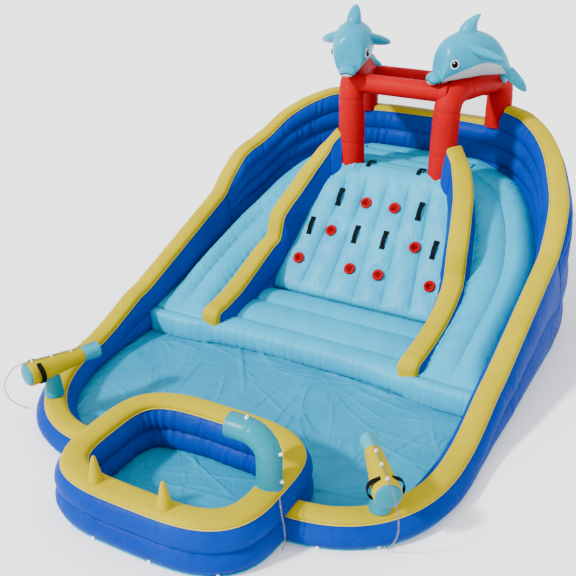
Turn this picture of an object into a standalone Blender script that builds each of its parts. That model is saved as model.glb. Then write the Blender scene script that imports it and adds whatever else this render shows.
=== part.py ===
# Inflatable water slide: two curved slides round a climbing wall, over a main pool and a small splash pool.
# Metres, +Z up, +Y towards the back. The origin is on the ground under the middle of the steps' front edge.
import math

import bmesh
import bpy
from mathutils import Matrix, Vector

for old in list(bpy.data.objects):
    bpy.data.objects.remove(old, do_unlink=True)

# Clearances and shared sizes
gap = 0.0003
overrun = 0.05
joint_overrun = 0.010
sheet_thickness = 0.012
sheet_lip = 0.028

# Outer wall, seen from above: its centre line and the chambers' half widths
wall_half_span = 1.68
wall_front_y = -1.79
front_flat_half = 0.75
tower_start_y = 1.43
rear_line_y = 2.92
rear_flat_half = 0.30
wall_seam_half = 0.115
wall_rise = 0.045
cap_half = 0.080
cap_height = 0.050
left_corner = {"start_y": -0.35, "power": 2.2, "front_end": 0.62}
right_corner = {"start_y": -0.75, "power": 2.5, "front_end": 0.80}

# Outer wall, heights of the blue chambers' tops
front_wall_height = 0.170
step_seam_y = 0.107
step_seam_height = 0.400
tower_start_height = 0.885
tower_height = 1.750
back_wall_height = 1.575
entry_rise_shares = ((0.0, 0.0), (0.2, 0.04), (0.4, 0.22), (0.6, 0.52), (0.8, 0.83), (1.0, 1.0))
tower_rise_shares = ((0.0, 0.0), (0.11, 0.17), (0.25, 0.365), (0.32, 0.42), (0.42, 0.475), (0.52, 0.56),
                     (0.65, 0.735), (0.785, 0.87), (0.92, 0.98), (1.0, 1.0))
station_limit_share = 0.95
slide_edge_height = 0.68
slide_edge_shares = ((0.0, 0.0), (0.37, 0.275), (0.517, 0.50), (0.62, 0.68), (0.92, 0.97), (1.0, 1.0))

# Small pool
small_pool_centre = (0.105, -1.835)
small_pool_half = (0.695, 0.54)
small_pool_power = 3.6
small_pool_height = 0.345
rim_half = 0.090

# Platform, climbing wall and landing
platform_height = 1.225
platform_lip_height = 1.265
platform_half = 0.60
platform_front_y = 1.985
platform_depth = 0.27
platform_tubes = 4
climb_foot_y = 1.045
climb_top_y = 1.900
climb_foot_half = 0.86
climb_top_half = 0.62
climb_channels = 6
climb_swell = 0.030
climb_back_depth = 0.30
landing_height = 0.220
landing_front_set_back = 0.105
landing_tube_rear_y = 0.360
landing_end_rear_y = 0.125
mat_crease_y = 0.750
mat_half = 0.92
mat_crease_drop = 0.030

# Slides: rows from the platform to the landing, each with the depth of its outer and its inner end as shares
# of the back line's depth, and their heights as shares of the climb from the landing to the platform
slide_thickness = 0.180
slide_crest = 0.040
slide_lane_shares = (0.17, 0.80)
slide_row_shares = ((0.995, 0.692, 1.0, 1.0), (0.955, 0.678, 0.985, 0.975), (0.89, 0.657, 0.935, 0.905),
                    (0.805, 0.630, 0.825, 0.835), (0.72, 0.596, 0.68, 0.755), (0.634, 0.555, 0.575, 0.648),
                    (0.531, 0.497, 0.493, 0.523), (0.428, 0.418, 0.418, 0.363), (0.315, 0.315, 0.341, 0.219),
                    (0.205, 0.205, 0.238, 0.114), (0.103, 0.103, 0.104, 0.040), (0.0432, 0.0432, 0.0, 0.0))
slide_crest_shares = (0.0, 0.5, 1.0, 1.0, 1.0, 1.0, 1.0, 1.0, 1.0, 1.0, 0.9, 0.0)

# Dividers: points from the landing to the column, depth and side as shares of the platform's front depth,
# top heights as shares of the platform's height
divider_cap_half = 0.085
divider_seam_half = 0.105
divider_rise = 0.035
divider_point_shares = ((0.060, 0.480, 0.240), (0.13, 0.481, 0.245), (0.252, 0.484, 0.275), (0.36, 0.488, 0.325),
                        (0.453, 0.487, 0.385), (0.554, 0.481, 0.460), (0.620, 0.466, 0.510), (0.646, 0.460, 0.690),
                        (0.700, 0.447, 0.765), (0.756, 0.432, 0.830), (0.806, 0.417, 0.900), (0.856, 0.402, 0.970),
                        (0.907, 0.378, 1.050), (0.957, 0.345, 1.150), (0.990, 0.290, 1.270))

# Arch frame
column_radius = 0.125
front_column_x = 0.457
front_column_lean = 0.030
column_foot_height = 1.05
rear_column_x = 0.715
arch_height = 2.07
arch_bend = 0.20
beam_radius = 0.090
front_beam_height = 2.055
rear_beam_height = 1.950
net_columns = 12
net_rows = 4
net_bar = 0.012
net_thickness = 0.006

# Holds and handles on the climbing wall: side and height shares of its half width and of its slope
hold_radius = 0.055
hold_height = 0.030
hold_shares = ((-0.23, 0.735), (0.20, 0.735), (-0.57, 0.484), (0.60, 0.484),
               (-0.83, 0.237), (-0.146, 0.237), (0.22, 0.237), (0.86, 0.237))
strap_width = 0.040
strap_thickness = 0.004
strap_length = 0.150
strap_stand_off = 0.038
strap_foot = 0.030
strap_shares = ((-0.64, 0.742), (0.58, 0.742), (-0.86, 0.489), (-0.21, 0.489), (0.185, 0.489), (0.86, 0.489))
edge_strap_x = 0.262
edge_strap_length = 0.190

# Dolphins: body stations from nose to tail as forward, height, half width and half height shares of its length
dolphin_length = 0.88
dolphin_body_shares = ((0.428, -0.240, 0.018, 0.016), (0.412, -0.240, 0.060, 0.042), (0.365, -0.226, 0.088, 0.062),
                       (0.330, -0.190, 0.104, 0.092), (0.315, -0.115, 0.148, 0.152), (0.255, -0.060, 0.184, 0.194),
                       (0.155, -0.012, 0.209, 0.224), (0.020, 0.010, 0.219, 0.230), (-0.122, 0.000, 0.199, 0.209),
                       (-0.245, -0.036, 0.158, 0.163), (-0.347, -0.087, 0.112, 0.112), (-0.420, -0.143, 0.070, 0.070),
                       (-0.470, -0.194, 0.045, 0.045), (-0.490, -0.220, 0.030, 0.030))
left_dolphin = {"side": -1.0, "outward": 0.068, "set_back": 0.165, "seat_depth": 0.016, "heading": -16.0}
right_dolphin = {"side": 1.0, "outward": 0.110, "set_back": 0.190, "seat_depth": 0.011, "heading": 44.0}

# Cannons: the post stands on the wall's centre line, this far in from the wall's widest part
left_cannon = {"side": -1.0, "inset": 0.335, "heading": -20.0, "corner": left_corner}
right_cannon = {"side": 1.0, "inset": 0.240, "heading": 36.0, "corner": right_corner}
barrel_height = 0.475
barrel_rear_radius = 0.095
barrel_front_radius = 0.058
barrel_length = 0.470
barrel_rear_reach = 0.200
nozzle_radius = 0.066
nozzle_length = 0.140
nozzle_bore = 0.046
nozzle_bore_depth = 0.110
rear_cap_thickness = 0.030
post_radius = 0.072
post_top_radius = 0.058
post_clearance = 0.012
grip_width = 0.040
grip_thickness = 0.004
grip_stand_off = 0.032
grip_place_share = 0.17
grip_angles = ((-66.0, 0.0), (-52.0, 0.0), (-38.0, 0.55), (-20.0, 1.0), (0.0, 1.08), (20.0, 1.0), (38.0, 0.55),
               (52.0, 0.0), (66.0, 0.0))

# Small pool's fittings
elbow_radius = 0.086
elbow_bore = 0.060
elbow_bend = 0.170
elbow_rise = 0.240
elbow_reach = 0.120
elbow_place = (0.795, -1.865)
cone_radius = 0.052
cone_height = 0.190
cone_sides = (-0.208, 0.336)
hose_radius = 0.0075
sleeve_radius = 0.095
sleeve_wall = 0.004
sleeve_length = 0.42
sleeve_side = 0.95

colours = {
    "cyan": (0.010, 0.475, 0.800), "blue": (0.0, 0.080, 0.500), "yellow": (1.0, 0.745, 0.030),
    "red": (0.900, 0.006, 0.020), "turquoise": (0.014, 0.480, 0.550), "black": (0.010, 0.010, 0.012),
    "net": (0.600, 0.600, 0.600), "hose": (0.850, 0.850, 0.850), "dolphin": (0.020, 0.500, 0.720)}

parts_collection = bpy.data.collections.new("inflatable_water_slide")
cutters_collection = bpy.data.collections.new("cutters")
bpy.context.scene.collection.children.link(parts_collection)
bpy.context.scene.collection.children.link(cutters_collection)


# Objects and materials

def paint(obj, colour, roughness=0.38):
    material = bpy.data.materials.new(obj.name)
    material.use_nodes = True
    shader = material.node_tree.nodes["Principled BSDF"]
    shader.inputs["Base Color"].default_value = (*colours[colour], 1.0)
    shader.inputs["Roughness"].default_value = roughness
    shader.inputs["Metallic"].default_value = 0.0
    obj.data.materials.clear()
    obj.data.materials.append(material)


def keep(obj, colour):
    """Put a finished piece in the parts collection, with its own material."""
    for owner in list(obj.users_collection):
        owner.objects.unlink(obj)
    parts_collection.objects.link(obj)
    paint(obj, colour)
    return obj


def as_cutter(obj):
    for owner in list(obj.users_collection):
        owner.objects.unlink(obj)
    cutters_collection.objects.link(obj)
    obj.hide_render = True
    obj.display_type = "WIRE"
    return obj


def mesh_object(name, bm, smooth_angle=35.0):
    """Close a bmesh into an object, its faces pointing out and its round parts shaded smooth."""
    bmesh.ops.recalc_face_normals(bm, faces=bm.faces[:])
    mesh = bpy.data.meshes.new(name)
    bm.to_mesh(mesh)
    bm.free()
    mesh.shade_smooth()
    mesh.set_sharp_from_angle(angle=math.radians(smooth_angle))
    obj = bpy.data.objects.new(name, mesh)
    bpy.context.scene.collection.objects.link(obj)
    return obj


def loft(name, rings, closed=False):
    """Skin a row of rings with the same point count; an open row gets flat ends."""
    bm = bmesh.new()
    loops = [[bm.verts.new(point) for point in ring] for ring in rings]
    count = len(loops[0])
    pairs = list(zip(loops, loops[1:]))
    if closed:
        pairs.append((loops[-1], loops[0]))
    for first, second in pairs:
        for i in range(count):
            j = (i + 1) % count
            bm.faces.new((first[i], first[j], second[j]))
            bm.faces.new((first[i], second[j], second[i]))
    if not closed:
        bm.faces.new(loops[0])
        bm.faces.new(list(reversed(loops[-1])))
    return mesh_object(name, bm)


def boolean(obj, other, operation="DIFFERENCE"):
    modifier = obj.modifiers.new(other.name, "BOOLEAN")
    modifier.operation = operation
    modifier.object = other
    modifier.solver = "EXACT"
    return obj


def apply_modifiers(obj):
    """Turn an object's evaluated shape into its mesh."""
    graph = bpy.context.evaluated_depsgraph_get()
    mesh = bpy.data.meshes.new_from_object(obj.evaluated_get(graph))
    bm = bmesh.new()
    bm.from_mesh(mesh)
    bmesh.ops.remove_doubles(bm, verts=bm.verts[:], dist=0.00005)
    solid = mesh_object(obj.name + "_solid", bm)
    solid.matrix_world = obj.matrix_world
    name = obj.name
    bpy.data.objects.remove(obj, do_unlink=True)
    solid.name = name
    return solid


def tube(name, points, radius, sides=12, closed=False):
    """A round tube along points, with filled ends."""
    curve = bpy.data.curves.new(name, "CURVE")
    curve.dimensions = "3D"
    curve.bevel_depth = radius
    curve.bevel_resolution = (sides - 4) // 2
    curve.use_fill_caps = True
    spline = curve.splines.new("POLY")
    spline.points.add(len(points) - 1)
    for slot, point in zip(spline.points, points):
        slot.co = (*point, 1.0)
    spline.use_cyclic_u = closed
    obj = bpy.data.objects.new(name, curve)
    bpy.context.scene.collection.objects.link(obj)
    return obj


def solid_tube(name, points, radius, sides=12):
    return apply_modifiers(tube(name, points, radius, sides))


def flat_outline(name, points, bottom, top):
    """A flat piece: a closed 2D outline with thickness, made a mesh."""
    curve = bpy.data.curves.new(name, "CURVE")
    curve.dimensions = "2D"
    curve.fill_mode = "BOTH"
    curve.extrude = (top - bottom) / 2
    spline = curve.splines.new("POLY")
    spline.points.add(len(points) - 1)
    for slot, point in zip(spline.points, points):
        slot.co = (point[0], point[1], 0.0, 1.0)
    spline.use_cyclic_u = True
    obj = bpy.data.objects.new(name, curve)
    obj.location = (0.0, 0.0, (top + bottom) / 2)
    bpy.context.scene.collection.objects.link(obj)
    bpy.context.view_layer.update()
    return apply_modifiers(obj)


# Small helpers for curves

def share_at(table, where):
    """Read a table of (place, value) pairs between its rows."""
    if where <= table[0][0]:
        return table[0][1]
    for (a, low), (b, high) in zip(table, table[1:]):
        if where <= b:
            return low + (high - low) * (where - a) / (b - a)
    return table[-1][1]


def smooth_line(points, steps):
    """Points along a smooth curve through the given ones."""
    points = [Vector(p) for p in points]
    padded = [2 * points[0] - points[1]] + points + [2 * points[-1] - points[-2]]
    line = []
    for k in range(1, len(padded) - 2):
        p0, p1, p2, p3 = padded[k - 1:k + 3]
        for i in range(steps):
            t = i / steps
            line.append(0.5 * (2 * p1 + (p2 - p0) * t + (2 * p0 - 5 * p1 + 4 * p2 - p3) * t * t
                               + (3 * p1 - p0 - 3 * p2 + p3) * t * t * t))
    line.append(points[-1])
    return line


def plan_normals(points):
    """Unit vectors to the right of travel at each plan point."""
    normals = []
    for i in range(len(points)):
        before = points[max(i - 1, 0)]
        after = points[min(i + 1, len(points) - 1)]
        along = (after - before).normalized()
        normals.append(Vector((along.y, -along.x)))
    return normals


# The outer wall's plan: travel starts at the small pool, so the right of travel is outside on the right wall

def corner_points(corner, steps=9):
    """Front corner from the front wall's straight to the side wall, as a rounded quarter."""
    across = wall_half_span - front_flat_half
    along = corner["start_y"] - wall_front_y
    points = []
    for i in range(1, steps + 1):
        turn = math.pi / 2 * i / steps
        x = front_flat_half + across * math.sin(turn) ** (2 / corner["power"])
        y = corner["start_y"] - along * math.cos(turn) ** (2 / corner["power"])
        points.append(Vector((x, y)))
    return points


def corner_y(corner, side):
    """Depth of the wall's centre line at a side distance round the front corner."""
    share = (abs(side) - front_flat_half) / (wall_half_span - front_flat_half)
    along = corner["start_y"] - wall_front_y
    return corner["start_y"] - along * (1 - max(share, 0.0) ** corner["power"]) ** (1 / corner["power"])


def back_point(depth_share):
    """Point of the rounded back, from the tower's start (0) to the back line (1)."""
    x = rear_flat_half + (wall_half_span - rear_flat_half) * math.sqrt(max(1 - depth_share ** 2, 0.0))
    return Vector((x, tower_start_y + (rear_line_y - tower_start_y) * depth_share))


def back_share_at(side):
    """Depth share of the rounded back at a side distance."""
    across = (side - rear_flat_half) / (wall_half_span - rear_flat_half)
    return math.sqrt(1 - across ** 2)


def wall_plan_point(depth):
    """Right wall's centre line at a depth beyond the landing."""
    if depth <= tower_start_y:
        return Vector((wall_half_span, depth))
    return back_point((depth - tower_start_y) / (rear_line_y - tower_start_y))


column_outer_x = rear_column_x + column_radius
tower_end_share = back_share_at(column_outer_x)


def low_wall_stations(corner):
    """Plan points, normals, heights and seam depths of the wall from the small pool to the tower."""
    points = []
    front_end = corner["front_end"]
    if front_end < front_flat_half:
        points.append(Vector((front_end, wall_front_y)))
    points.append(Vector((front_flat_half, wall_front_y)))
    points += corner_points(corner)
    if front_end > front_flat_half:
        points = [p for p in points if p.x > front_end]
        points.insert(0, Vector((front_end, corner_y(corner, front_end))))
    run = step_seam_y - corner["start_y"]
    for share, _ in entry_rise_shares[1:]:
        points.append(Vector((wall_half_span, corner["start_y"] + run * share)))
    steps = 4
    for i in range(1, steps + 1):
        depth = step_seam_y + (tower_start_y - step_seam_y) * i / steps
        points.append(Vector((wall_half_span, depth)))
    normals = plan_normals(points)
    normals[-1] = Vector((1.0, 0.0))
    heights = []
    pinches = []
    for p in points:
        if p.y <= step_seam_y:
            share = min(max((p.y + overrun - entry_start_y) / (step_seam_y + overrun - entry_start_y), 0.0), 1.0)
            rise = share_at(entry_rise_shares, share)
            heights.append(front_wall_height + (step_seam_height - front_wall_height) * rise)
            pinches.append(share)
        else:
            share = (p.y - step_seam_y) / (tower_start_y - step_seam_y)
            heights.append(step_seam_height + (tower_start_height - step_seam_height) * share)
            pinches.append(1.0)
    return points, normals, heights, pinches


entry_start_y = right_corner["start_y"]


def tower_stations():
    """Plan points, normals, top heights and slide edge heights of the tower wall."""
    shares = [s for s, _ in tower_rise_shares if s < tower_end_share * station_limit_share] + [tower_end_share]
    points = [back_point(s) for s in shares]
    normals = plan_normals(points)
    normals[0] = Vector((1.0, 0.0))
    tops = []
    edges = []
    for s in shares:
        place = s / tower_end_share
        tops.append(tower_start_height + (tower_height - tower_start_height) * share_at(tower_rise_shares, place))
        edges.append(slide_edge_height + (platform_height - slide_edge_height) * share_at(slide_edge_shares, place))
    return points, normals, tops, edges


# Chamber sections: points as distance from the centre line and height

def chamber_section(edges, halves, rise, grow=0.0, pinch=1.0):
    """Stacked tubes between the edge heights; a pinch of 0 makes one plain swell of them."""
    tiers = len(edges) - 1
    side = []
    for k in range(tiers):
        for step in range(3):
            u = step / 3
            z = edges[k] + (edges[k + 1] - edges[k]) * u
            total = (z - edges[0]) / (edges[-1] - edges[0])
            plain = halves[0] + (halves[-1] - halves[0]) * total + 1.3 * rise * math.sin(math.pi * total)
            tubes = halves[k] + (halves[k + 1] - halves[k]) * u + rise * math.sin(math.pi * u)
            side.append((plain + (tubes - plain) * pinch + grow, z))
    side.append((halves[-1] + grow, edges[-1] + grow))
    side[0] = (side[0][0], edges[0] - grow)
    return side + [(-n, z) for n, z in reversed(side)]


def cap_section(half, base, height, grow=0.0):
    """A cap chamber: flat underneath, sides a little full and a low crown."""
    side = [(half, 0.0), (half + height * 0.12, height * 0.36), (half * 0.72, height * 0.84)]
    right = [(n + grow, base + z + (grow if z > 0 else -grow)) for n, z in side]
    return [(-n, z) for n, z in right] + [(0.0, base + height + grow)] + list(reversed(right))


def place_section(point, normal, section, mirror=1.0):
    return [Vector((mirror * (point.x + normal.x * n), point.y + normal.y * n, z)) for n, z in section]


def wall_base():
    return sheet_thickness + gap


def run_on(rings, reach):
    """Carry a row of rings a little past both its ends."""
    longer = list(rings)
    for place, end, beside in ((0, rings[0], rings[1]), (len(rings) + 1, rings[-1], rings[-2])):
        along = (sum(end, Vector()) - sum(beside, Vector())).normalized() * reach
        longer.insert(place, [point + along for point in end])
    return longer


def low_wall_rings(corner, mirror, grow=0.0):
    points, normals, heights, pinches = low_wall_stations(corner)
    points[-1] = points[-1] - Vector((0.0, gap / 2))
    rings = []
    for point, normal, height, pinch in zip(points, normals, heights, pinches):
        base = wall_base()
        edges = [base, base + (height - base) / 2, height]
        halves = [wall_seam_half, wall_seam_half, cap_half]
        rings.append(place_section(point, normal, chamber_section(edges, halves, wall_rise, grow, pinch), mirror))
    return run_on(rings, joint_overrun) if grow else rings


def tower_rings(mirror, grow=0.0):
    points, normals, tops, slide_edges = tower_stations()
    points[0] = points[0] + Vector((0.0, gap / 2))
    end_along = (points[-1] - points[-2]).normalized()
    points[-1] = points[-1] - end_along * gap / 2
    rings = []
    for point, normal, top, edge in zip(points, normals, tops, slide_edges):
        base = wall_base()
        tier = (top - edge) / 3
        edges = [base, (base + edge) / 2, edge, edge + tier, edge + 2 * tier, top]
        halves = [wall_seam_half] * 5 + [cap_half]
        rings.append(place_section(point, normal, chamber_section(edges, halves, wall_rise, grow), mirror))
    return run_on(rings, joint_overrun * 1.3) if grow else rings


def cap_rings(corner, mirror, grow=0.0):
    points, normals, heights, _ = low_wall_stations(corner)
    tower_points, tower_normals, tops, _ = tower_stations()
    points = points[:-1] + tower_points
    normals = normals[:-1] + tower_normals
    heights = heights[:-1] + tops
    return [place_section(p, n, cap_section(cap_half, h + gap, cap_height, grow), mirror)
            for p, n, h in zip(points, normals, heights)]


def back_wall_points():
    """Plan points and normals of the back wall, from its right end to its left."""
    steps = 3
    half = []
    for i in range(steps + 1):
        side = column_outer_x + (rear_flat_half - column_outer_x) * i / steps
        half.append(Vector((side, back_point(back_share_at(side)).y)))
    points = half + [Vector((-p.x, p.y)) for p in reversed(half)]
    right_points, right_normals, _, _ = tower_stations()
    normals = plan_normals(points)
    normals[0] = right_normals[-1]
    normals[-1] = Vector((-right_normals[-1].x, right_normals[-1].y))
    start_along = (points[0] - right_points[-2]).normalized()
    return points, normals, start_along


def back_wall_rings(grow=0.0):
    points, normals, along = back_wall_points()
    points[0] = points[0] + along * gap / 2
    points[-1] = points[-1] + Vector((-along.x, along.y)) * gap / 2
    base = wall_base()
    tier = (back_wall_height - platform_height) / 2
    edges = [base, (base + platform_height) / 2, platform_height, platform_height + tier, back_wall_height]
    halves = [wall_seam_half] * 4 + [cap_half]
    rings = [place_section(p, n, chamber_section(edges, halves, wall_rise, grow)) for p, n in zip(points, normals)]
    return run_on(rings, joint_overrun * 0.7) if grow else rings


def rounded_loop(centre, half, power, steps=32):
    """Plan points and outward normals of a rounded rectangle, counter-clockwise."""
    points = []
    for i in range(steps):
        turn = 2 * math.pi * i / steps
        c, s = math.cos(turn), math.sin(turn)
        x = centre[0] + half[0] * math.copysign(abs(c) ** (2 / power), c)
        y = centre[1] + half[1] * math.copysign(abs(s) ** (2 / power), s)
        points.append(Vector((x, y)))
    normals = []
    for i in range(steps):
        along = (points[(i + 1) % steps] - points[i - 1]).normalized()
        normals.append(Vector((along.y, -along.x)))
    return points, normals


def small_pool_rings(grow=0.0):
    points, normals = rounded_loop(small_pool_centre, small_pool_half, small_pool_power)
    base = wall_base()
    edges = [base, (base + small_pool_height) / 2, small_pool_height]
    halves = [wall_seam_half, wall_seam_half, rim_half]
    return [place_section(p, n, chamber_section(edges, halves, wall_rise, grow)) for p, n in zip(points, normals)]


def small_rim_rings(grow=0.0):
    points, normals = rounded_loop(small_pool_centre, small_pool_half, small_pool_power)
    return [place_section(p, n, cap_section(rim_half, small_pool_height + gap, cap_height, grow))
            for p, n in zip(points, normals)]


# Base, pools and walls

def make_ground_sheet():
    """The base sheet: it follows the walls' feet all round, with a lip beyond them."""
    reach = wall_seam_half + sheet_lip
    outline = []
    for corner, mirror in ((right_corner, 1.0), (left_corner, -1.0)):
        points, normals, _, _ = low_wall_stations(corner)
        back_points, back_normals, _, _ = tower_stations()
        side = [p + n * reach for p, n in zip(points[:-1] + back_points, normals[:-1] + back_normals)]
        side = [Vector((mirror * p.x, p.y)) for p in side]
        outline += side if mirror > 0 else list(reversed(side))
    sheet = flat_outline("ground_sheet", outline, 0.0, sheet_thickness)
    points, normals = rounded_loop(small_pool_centre, small_pool_half, small_pool_power)
    pool = flat_outline("small_pool_sheet", [p + n * reach for p, n in zip(points, normals)], 0.0, sheet_thickness)
    boolean(sheet, as_cutter(pool), "UNION")
    return keep(sheet, "cyan")


def make_walls():
    pool_guide = as_cutter(loft("small_pool_guide", small_pool_rings(gap), closed=True))
    rim_guide = as_cutter(loft("small_rim_guide", small_rim_rings(gap), closed=True))
    guides = {}
    for side, mirror, corner in (("left", -1.0, left_corner), ("right", 1.0, right_corner)):
        wall = keep(loft(side + "_wall", low_wall_rings(corner, mirror)), "blue")
        boolean(wall, pool_guide)
        cap = keep(loft(side + "_wall_cap", cap_rings(corner, mirror)), "yellow")
        boolean(cap, pool_guide)
        keep(loft(side + "_tower_wall", tower_rings(mirror)), "blue")
        guides[side] = [as_cutter(loft(side + "_wall_guide", low_wall_rings(corner, mirror, gap))),
                        as_cutter(loft(side + "_tower_guide", tower_rings(mirror, gap)))]
    keep(loft("small_pool_wall", small_pool_rings(), closed=True), "blue")
    keep(loft("small_pool_rim", small_rim_rings(), closed=True), "yellow")
    keep(loft("back_wall", back_wall_rings()), "blue")
    guides["back"] = [as_cutter(loft("back_wall_guide", back_wall_rings(gap)))]
    guides["rim"] = rim_guide
    return guides


def make_back_cap(arch_guides):
    points, normals, _ = back_wall_points()
    rings = [place_section(p, n, cap_section(cap_half, back_wall_height + gap, cap_height))
             for p, n in zip(points[1:-1], normals[1:-1])]
    cap = keep(loft("back_wall_cap", rings), "yellow")
    for guide in arch_guides:
        boolean(cap, guide)


# Landing, climbing wall and platform

def landing_front_y(side):
    share = min(abs(side) / wall_half_span, 1.0)
    return landing_front_set_back * (0.5 + 0.5 * math.cos(math.pi * min(share / 0.75, 1.0) ** 2))


def landing_profile(front, rear, height, grow=0.0):
    """Side view of a tube lying on the sheet, its front rounded: depth and height pairs."""
    base = wall_base() - grow
    depth = rear - front
    front = front - grow
    rear = rear + grow
    top = height + grow
    round_front = min(depth, height) * 0.45
    profile = [(rear, base), (front + round_front * 0.25, base), (front, base + (top - base) * 0.22)]
    profile += [(front, base + (top - base) * 0.50), (front + round_front * 0.30, base + (top - base) * 0.84)]
    profile += [(front + round_front * 1.1, top), ((front + rear) / 2 + round_front * 0.5, top)]
    profile += [(rear, top - mat_crease_drop * 0.5)]
    return profile


def landing_rings(grow=0.0):
    rings = []
    inner = divider_point_shares[0][1] * platform_front_y
    sides = (-wall_half_span, -1.35, -inner - divider_cap_half, -inner, -inner + divider_cap_half, -0.45, 0.0)
    sides = sides + tuple(-s for s in reversed(sides[:-1]))
    for side in sides:
        within = abs(side) < inner + divider_cap_half / 2
        rear = landing_tube_rear_y if within else landing_end_rear_y
        section = landing_profile(landing_front_y(side), rear - gap, landing_height, grow)
        rings.append([Vector((side, y, z)) for y, z in section])
    return rings


def mat_rings(grow=0.0):
    """Two tubes across, between the landing tube and the climbing wall."""
    base = wall_base() - grow
    crease = landing_height - mat_crease_drop
    top = [(landing_tube_rear_y + gap, crease)]
    for start, end in ((landing_tube_rear_y, mat_crease_y), (mat_crease_y, climb_foot_y)):
        for share, lift in ((0.2, 0.72), (0.5, 1.0), (0.8, 0.72), (1.0, 0.0)):
            top.append((start + (end - start) * share, crease + mat_crease_drop * lift))
    top[-1] = (climb_foot_y - gap, crease)
    section = [(climb_foot_y - gap, base), (landing_tube_rear_y + gap, base)] + top
    return [[Vector((side, y, z)) for y, z in section] for side in (-mat_half, mat_half)]


def climb_point(across, up, out=0.0):
    """Point of the climbing wall's face: across and up as shares, out square to the face."""
    foot = Vector((0.0, climb_foot_y, landing_height))
    top = Vector((0.0, climb_top_y, platform_lip_height))
    normal = Vector((0.0, foot.z - top.z, top.y - foot.y)).normalized()
    half = climb_foot_half + (climb_top_half - climb_foot_half) * up
    point = foot + (top - foot) * up + normal * out
    point.x = across * half
    return point


def climb_swell_at(across):
    return climb_swell * (abs(math.sin(math.pi * climb_channels * (across + 1) / 2)) ** 0.7 - 1.0)


def climb_rings(grow=0.0):
    """Upright sections of the climbing wall from one side to the other."""
    rings = []
    per_channel = 4
    count = climb_channels * per_channel
    ups = (0.0, 0.07, 0.36, 0.65, 0.93, 1.0)
    ends = (0.55, 1.0, 1.0, 1.0, 1.0, 0.5)
    normal = (climb_point(0.0, 0.0, 1.0) - climb_point(0.0, 0.0)).normalized()
    for i in range(count + 1):
        across = -1.0 + 2.0 * i / count
        face = [climb_point(across, up, climb_swell_at(across) * full) for up, full in zip(ups, ends)]
        face[0] = Vector((0.0, climb_foot_y + gap / 2, landing_height - mat_crease_drop))
        lip_rear = Vector((0.0, platform_front_y, platform_lip_height))
        rear_top = Vector((0.0, platform_front_y, platform_height - platform_depth))
        rear_foot = Vector((0.0, climb_foot_y + climb_back_depth, wall_base()))
        foot = Vector((0.0, climb_foot_y + gap / 2, wall_base()))
        ring = face + [lip_rear, rear_top, rear_foot, foot]
        for point in ring:
            share = (point.y - climb_foot_y) / (climb_top_y - climb_foot_y)
            point.x = across * (climb_foot_half + (climb_top_half - climb_foot_half) * share)
        for point in face:
            point += normal * grow
        for point in (lip_rear, rear_top):
            point.y = platform_front_y + grow
        lip_rear.z += grow * 2
        face[-1].z += grow
        rings.append(ring)
    return rings


def platform_rings(grow=0.0):
    """Side view of the platform's tubes, set at both sides."""
    section = [(platform_front_y + gap - grow, platform_height - platform_depth - grow)]
    rear = rear_line_y - wall_seam_half * 0.4
    drop = platform_depth * 0.07
    for tube_number in range(platform_tubes):
        start = platform_front_y + gap + (rear - platform_front_y) * tube_number / platform_tubes
        length = (rear - platform_front_y) / platform_tubes
        for share, lift in ((0.0, 0.0), (0.25, 0.75), (0.5, 1.0), (0.75, 0.75)):
            y = start + length * share
            fall = (platform_lip_height - platform_height) * (y - platform_front_y) / (rear - platform_front_y)
            section.append((y, platform_lip_height - fall - drop * (1.0 - lift) + grow))
    section.append((rear, platform_height - drop + grow))
    section.append((rear, platform_height - platform_depth - grow))
    return [[Vector((side, y, z)) for y, z in section]
            for side in (-platform_half - grow, platform_half + grow)]


def hold_at(across, up):
    """A round climbing hold, standing square to the wall."""
    bm = bmesh.new()
    bmesh.ops.create_cone(bm, cap_ends=True, segments=12, radius1=hold_radius, radius2=hold_radius * 0.72,
                          depth=hold_height + climb_swell * 2)
    start = climb_point(across, up, 0.0)
    normal = (climb_point(across, up, 1.0) - start).normalized()
    lean = normal.to_track_quat("Z", "Y").to_matrix().to_4x4()
    centre = start + normal * (hold_height / 2 - climb_swell)
    bmesh.ops.transform(bm, matrix=Matrix.Translation(centre) @ lean, verts=bm.verts[:])
    return as_cutter(mesh_object("hold_guide", bm))


def make_landing_and_climb(guides):
    landing = keep(loft("landing_tube", landing_rings()), "cyan")
    for side in ("left", "right"):
        for guide in guides[side][:1]:
            boolean(landing, guide)
    landing_guide = as_cutter(loft("landing_guide", landing_rings(gap)))
    mat = keep(loft("landing_mat", mat_rings()), "cyan")
    climb = keep(loft("climbing_wall", climb_rings()), "cyan")
    for across, up in hold_shares:
        boolean(climb, hold_at(across, up), "UNION")
    climb_guide = as_cutter(loft("climb_guide", climb_rings(gap)))
    platform = keep(loft("platform", platform_rings()), "cyan")
    boolean(platform, guides["back"][0])
    platform_guide = as_cutter(loft("platform_guide", platform_rings(gap)))
    return landing_guide, mat, climb, platform, climb_guide, platform_guide


# Dividers between the slides and the climbing wall

def divider_stations(mirror):
    scale = platform_front_y
    points = [Vector((side * scale, depth * scale)) for depth, side, _ in divider_point_shares]
    tops = [share * platform_height for _, _, share in divider_point_shares]
    normals = plan_normals(points)
    normals[0] = Vector((1.0, 0.0))
    return [(p, n, top, mirror) for p, n, top in zip(points, normals, tops)]


def divider_rings(mirror, grow=0.0):
    rings = []
    for point, normal, top, side in divider_stations(mirror):
        base = wall_base()
        edges = [base, (base + top) / 2, top]
        halves = [divider_seam_half, divider_seam_half, divider_cap_half]
        pinch = min(max(point.y / climb_foot_y, 0.0), 1.0)
        section = chamber_section(edges, halves, divider_rise, grow, pinch)
        rings.append(place_section(point, normal, section, side))
    return run_on(rings, gap) if grow else rings


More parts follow.
